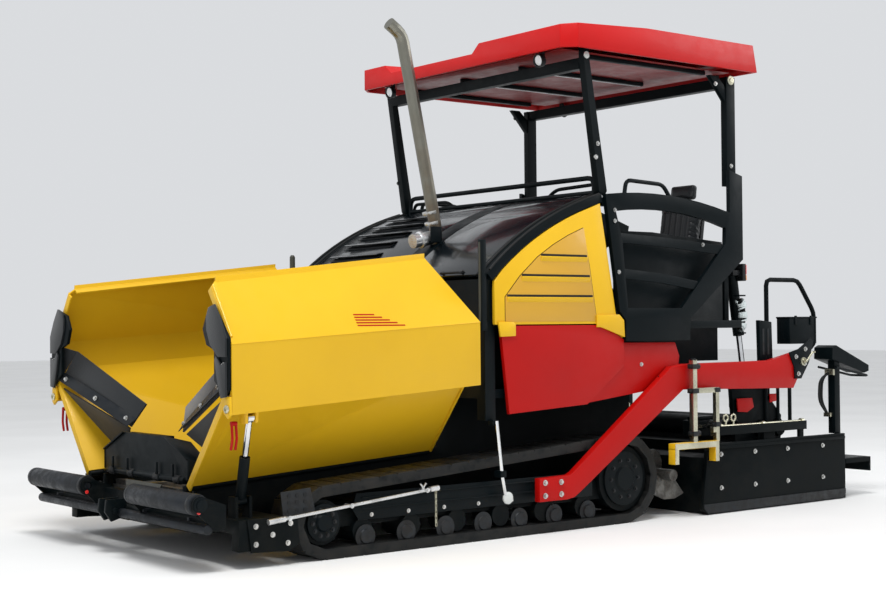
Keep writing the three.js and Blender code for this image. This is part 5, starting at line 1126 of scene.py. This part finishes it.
pair("hose_guard", "machine", hose_white, tube(spiral, 0.0065, 8), soften=0)
cores = [tube([p + Vector((dx, 0, 0)) for p in path], 0.012, 8) for dx in (-0.012, 0.012)]
clips = [box((1.12, 1.21), (1.69, 1.74), (1.69, 1.702)), box((1.12, 1.21), (1.69, 1.74), (1.392, 1.404))]
pair("hoses", "machine", hose_rubber, *cores, soften=0)
pair("hose_clips", "machine", black_paint, *clips)
block = box((0.96, 1.1), (1.26, 1.54), (0.59, 0.715))
cap = box((0.98, 1.08), (1.29, 1.5), (0.715, 0.745))
fittings = [rod((1.1, 1.3 + 0.06 * n, 0.67), (1.135, 1.3 + 0.06 * n, 0.67), 0.014, 0.011, 12)
            for n in range(4)]
loops = [tube(rounded([(1.135, 1.3 + 0.06 * n, 0.67), (1.175, 1.3 + 0.06 * n, 0.67),
                       (1.185, 1.33 + 0.08 * n, 0.72),
                       (1.15, 1.42 + 0.09 * n, 0.7), (1.1, 1.5 + 0.09 * n, 0.64)], 0.03), 0.01)
         for n in range(4)]
pair("valve_block", "screed", black_paint, block, cap, soften=0.006)
pair("valve_fittings", "screed", zinc_metal, *fittings, soften=0)
pair("valve_hoses", "screed", hose_rubber, *loops, soften=0)
rail = [tube(rounded([(1.135, 2.06, 0.62), (1.135, 2.06, 0.98), (1.135, 2.36, 1.00), (1.135, 2.36, 0.62)],
                     0.05), 0.016),
        tube([(1.135, 2.21, 0.99), (1.135, 2.21, 0.62)], 0.014)]
pair("screed_rail", "screed", black_paint, *rail, soften=0)
print("screed covers, brackets and hoses made")

# %% Spreader bars, eye bolts, skid shoes and walkway treads
own = "*_extension"
bar = rod((1.248, 1.355, 0.668), (1.248, 2.39, 0.668), 0.016, sides=16)
collars = [turned((1.248, y, 0.668), (1.248, y + 0.03, 0.668),
                  [(0, 0), (0, 0.026), (0.03, 0.026), (0.03, 0)], 16)
           for y in (1.36, 1.86, 2.35)]
eyes = []
for y in (1.44, 1.53):
    ring = [(1.248, y + cos(n * pi / 6) * 0.026, 0.735 + sin(n * pi / 6) * 0.026) for n in range(12)]
    eyes.append(tube(ring, 0.007, 8, closed=True))
    eyes.append(rod((1.248, y, 0.665), (1.248, y, 0.712), 0.009))
pair("spreader_bar", own, zinc_metal, bar, *collars, *eyes, soften=0)
shoe = side_plate([(1.145, 0.055), (1.19, 0.012), (2.86, 0.012), (2.895, 0.045), (2.895, 0.085),
                   (1.145, 0.085)], 1.2755, 1.285)
rib = box((1.2755, 1.288), (1.15, 2.89), (0.5, 0.522))
pair("skid_shoe", own, steel_dark, shoe)
pair("end_rib", own, chassis_paint, rib, soften=0.003)
treads = [box((0.03, 1.25), (2.925 + 0.052 * n, 2.955 + 0.052 * n), (0.3305, 0.3345)) for n in range(6)]
pair("walkway_tread", own, tread_grey, *treads, soften=0.001)
print("end plates and walkways dressed")

# %% [markdown]
# ## Screed consoles and grade sensors
#
# A walking operator works at the console on the screed's end. The grade sensor reads the height
# of the next layer: zinc posts with clamps carry a yellow averaging ski.

# %% Console heads
for side, sign in SIDES:
    own = f"{side}_extension"
    knobs, marks = [], []
    for row in range(3):
        for column in range(4):
            hit = landing(f"{side}_screed_console",
                          ((1.11 + 0.035 * column) * sign, 2.9 + 0.07 * row, 2.0), DOWN)
            place, normal = hit
            kit = marks if (row, column) in ((0, 3), (2, 0)) else knobs
            kit.append(rod(place - normal * 0.001, place + normal * 0.011, 0.01, sides=12))
    piece(f"{side}_head_buttons", own, pale_plastic, *knobs, soften=0)
    # The red stop buttons glow faintly from the red lens finish: painted glow.
    piece(f"{side}_head_stops", own, red_glow_lens, *marks, soften=0)
own = "*_extension"
guard = tube(rounded([(1.09, 2.8, 1.1), (1.09, 3.235, 1.02), (1.27, 3.235, 1.02), (1.27, 2.8, 1.1)],
                     0.03), 0.01)
pair("head_guard", own, black_paint, guard, soften=0)
loops = []
for index, reach in enumerate((0.02, 0.05)):
    line = [(1.19 + 0.02 * index, 2.8, 1.06), (1.19, 2.735 - reach, 1.000), (1.18, 2.735 - reach, 0.82),
            (1.18, 2.8, 0.7)]
    loops.append(tube(rounded(line, 0.06), 0.011))
pair("head_cables", own, hose_rubber, *loops, soften=0)
clamp = box((1.17, 1.258), (2.775, 2.8), (1.035, 1.085))
low = box((1.155, 1.225), (2.775, 2.812), (0.685, 0.72))
pair("cable_clamps", own, zinc_metal, clamp, low)
print("console heads made")

# %% Grade sensors
own = "*_extension"
x0, x1 = 1.2835, 1.3545
ski = [box((x0, x1), (0.754, 1.245), (0.5285, 0.5765)), box((x0, x1), (0.754, 0.796), (0.4195, 0.54)),
       box((x0, x1), (1.203, 1.245), (0.4195, 0.54))]
pair("sensor_ski", own, yellow_paint, *ski, soften=0.004)
rings = []
for y, z, half in ((0.995, 1.15, 0.03), (0.995, 0.965, 0.032), (0.995, 0.64, 0.03), (1.25, 0.7, 0.026),
                   (1.25, 0.965, 0.026)):
    rings.append(box((1.32 - half, 1.32 + half), (y - half, y + half), (z - 0.018, z + 0.018)))
    rings.append(bolt((1.32, y - half, z), (0, -1, 0), 0.02))
pair("sensor_clamps", own, steel_dark, *rings, soften=0.002)
knobs = []
for y, z in ((1.02, 1.15), (1.02, 0.64)):
    knobs.append(turned((1.32, y, z), (1.32, y + 0.045, z),
                        [(0, 0), (0, 0.01), (0.012, 0.01), (0.016, 0.022),
                 (0.036, 0.022), (0.042, 0.014), (0.043, 0)], 16))
pair("sensor_knobs", own, black_plastic, *knobs, soften=0)
cap = turned((1.32, 0.995, 1.195), (1.32, 0.995, 1.215),
             [(0, 0), (0, 0.024), (0.012, 0.024), (0.018, 0.014), (0.018, 0)])
pair("sensor_cap", own, black_plastic, cap, soften=0)
print("grade sensors made")

# %% [markdown]
# ## Push rollers
#
# Each push roller has a wear band of darker steel at both ends.

# %% Roller wear bands
own = "*_roller"
bands = []
for x in (0.335, 1.135):
    bands.append(turned((x, -3.185, 0.42), (x + 0.03, -3.185, 0.42),
                        [(0, 0.0), (0, 0.0645), (0.002, 0.0655),
                 (0.028, 0.0655), (0.03, 0.0645), (0.03, 0.0)], 36))
pair("roller_bands", own, steel_dark, *bands, soften=0)
print("roller bands made")

# %% [markdown]
# ## Floor, light and camera
#
# A pale floor and three large soft lamps show the shapes without hard shadows. The camera stands
# low at the front left corner, and its lens and turn are those of a real camera at that place.

# %% Floor
floor_mesh = bmesh.new()
bmesh.ops.create_grid(floor_mesh, x_segments=1, y_segments=1, size=60.0)
floor_data = bpy.data.meshes.new("floor")
floor_mesh.to_mesh(floor_data)
floor_mesh.free()
floor = bpy.data.objects.new("floor", floor_data)
bpy.context.scene.collection.objects.link(floor)
floor_finish = Finish("floor_paint", roughness=0.85)
floor_tone = floor_finish.noise(0.6, 3.0).ramp(0.3, 0.7)
floor_finish.set(base_color=floor_finish.mix((0.8, 0.8, 0.79), (0.84, 0.84, 0.83), floor_tone))
floor_data.materials.append(floor_finish.material)

# %% Lights
def soft_light(name, place, aim, size, watts, color=(1, 1, 1)):
    data = bpy.data.lights.new(name, "AREA")
    data.shape = "DISK"
    data.size = size
    data.energy = watts
    data.color = color
    lamp_object = bpy.data.objects.new(name, data)
    lamp_object.location = place
    lamp_object.rotation_euler = (Vector(aim) - Vector(place)).to_track_quat("-Z", "Y").to_euler()
    bpy.context.scene.collection.objects.link(lamp_object)
    return lamp_object


MIDDLE = (0, 0, 1.2)
soft_light("key_light", (5.0, -4.5, 12.5), MIDDLE, 5.0, 1250)
soft_light("fill_light", (-8.0, -8.0, 6.0), MIDDLE, 7.0, 60)
soft_light("rear_light", (5.0, 9.0, 7.0), MIDDLE, 6.0, 230)
world = bpy.data.worlds.new("studio")
world.use_nodes = True
world.node_tree.nodes["Background"].inputs["Color"].default_value = (0.95, 0.97, 1.0, 1.0)
world.node_tree.nodes["Background"].inputs["Strength"].default_value = 0.74
bpy.context.scene.world = world
bpy.context.scene.view_settings.view_transform = "Standard"

# %% Camera
CAMERA_PLACE = Vector((9.192, -7.627, 1.4716))
CAMERA_AZIMUTH = radians(51.746)
CAMERA_PITCH = radians(0.886)
CAMERA_ROLL = radians(-0.519)
SENSOR = 36.0
LENS = 61.5206

look = Vector((-sin(CAMERA_AZIMUTH) * cos(CAMERA_PITCH), cos(CAMERA_AZIMUTH) * cos(CAMERA_PITCH),
               sin(CAMERA_PITCH)))
level = Vector((cos(CAMERA_AZIMUTH), sin(CAMERA_AZIMUTH), 0.0))
upright = level.cross(look)
right = level * cos(CAMERA_ROLL) + upright * sin(CAMERA_ROLL)
up = upright * cos(CAMERA_ROLL) - level * sin(CAMERA_ROLL)
camera_data = bpy.data.cameras.new("camera")
camera_data.sensor_width = SENSOR
camera_data.lens = LENS
camera = bpy.data.objects.new("camera", camera_data)
camera.matrix_world = Matrix.Translation(CAMERA_PLACE) @ Matrix((right, up, -look)).transposed().to_4x4()
bpy.context.scene.collection.objects.link(camera)
bpy.context.scene.camera = camera
print("lens", round(LENS, 2), "mm")
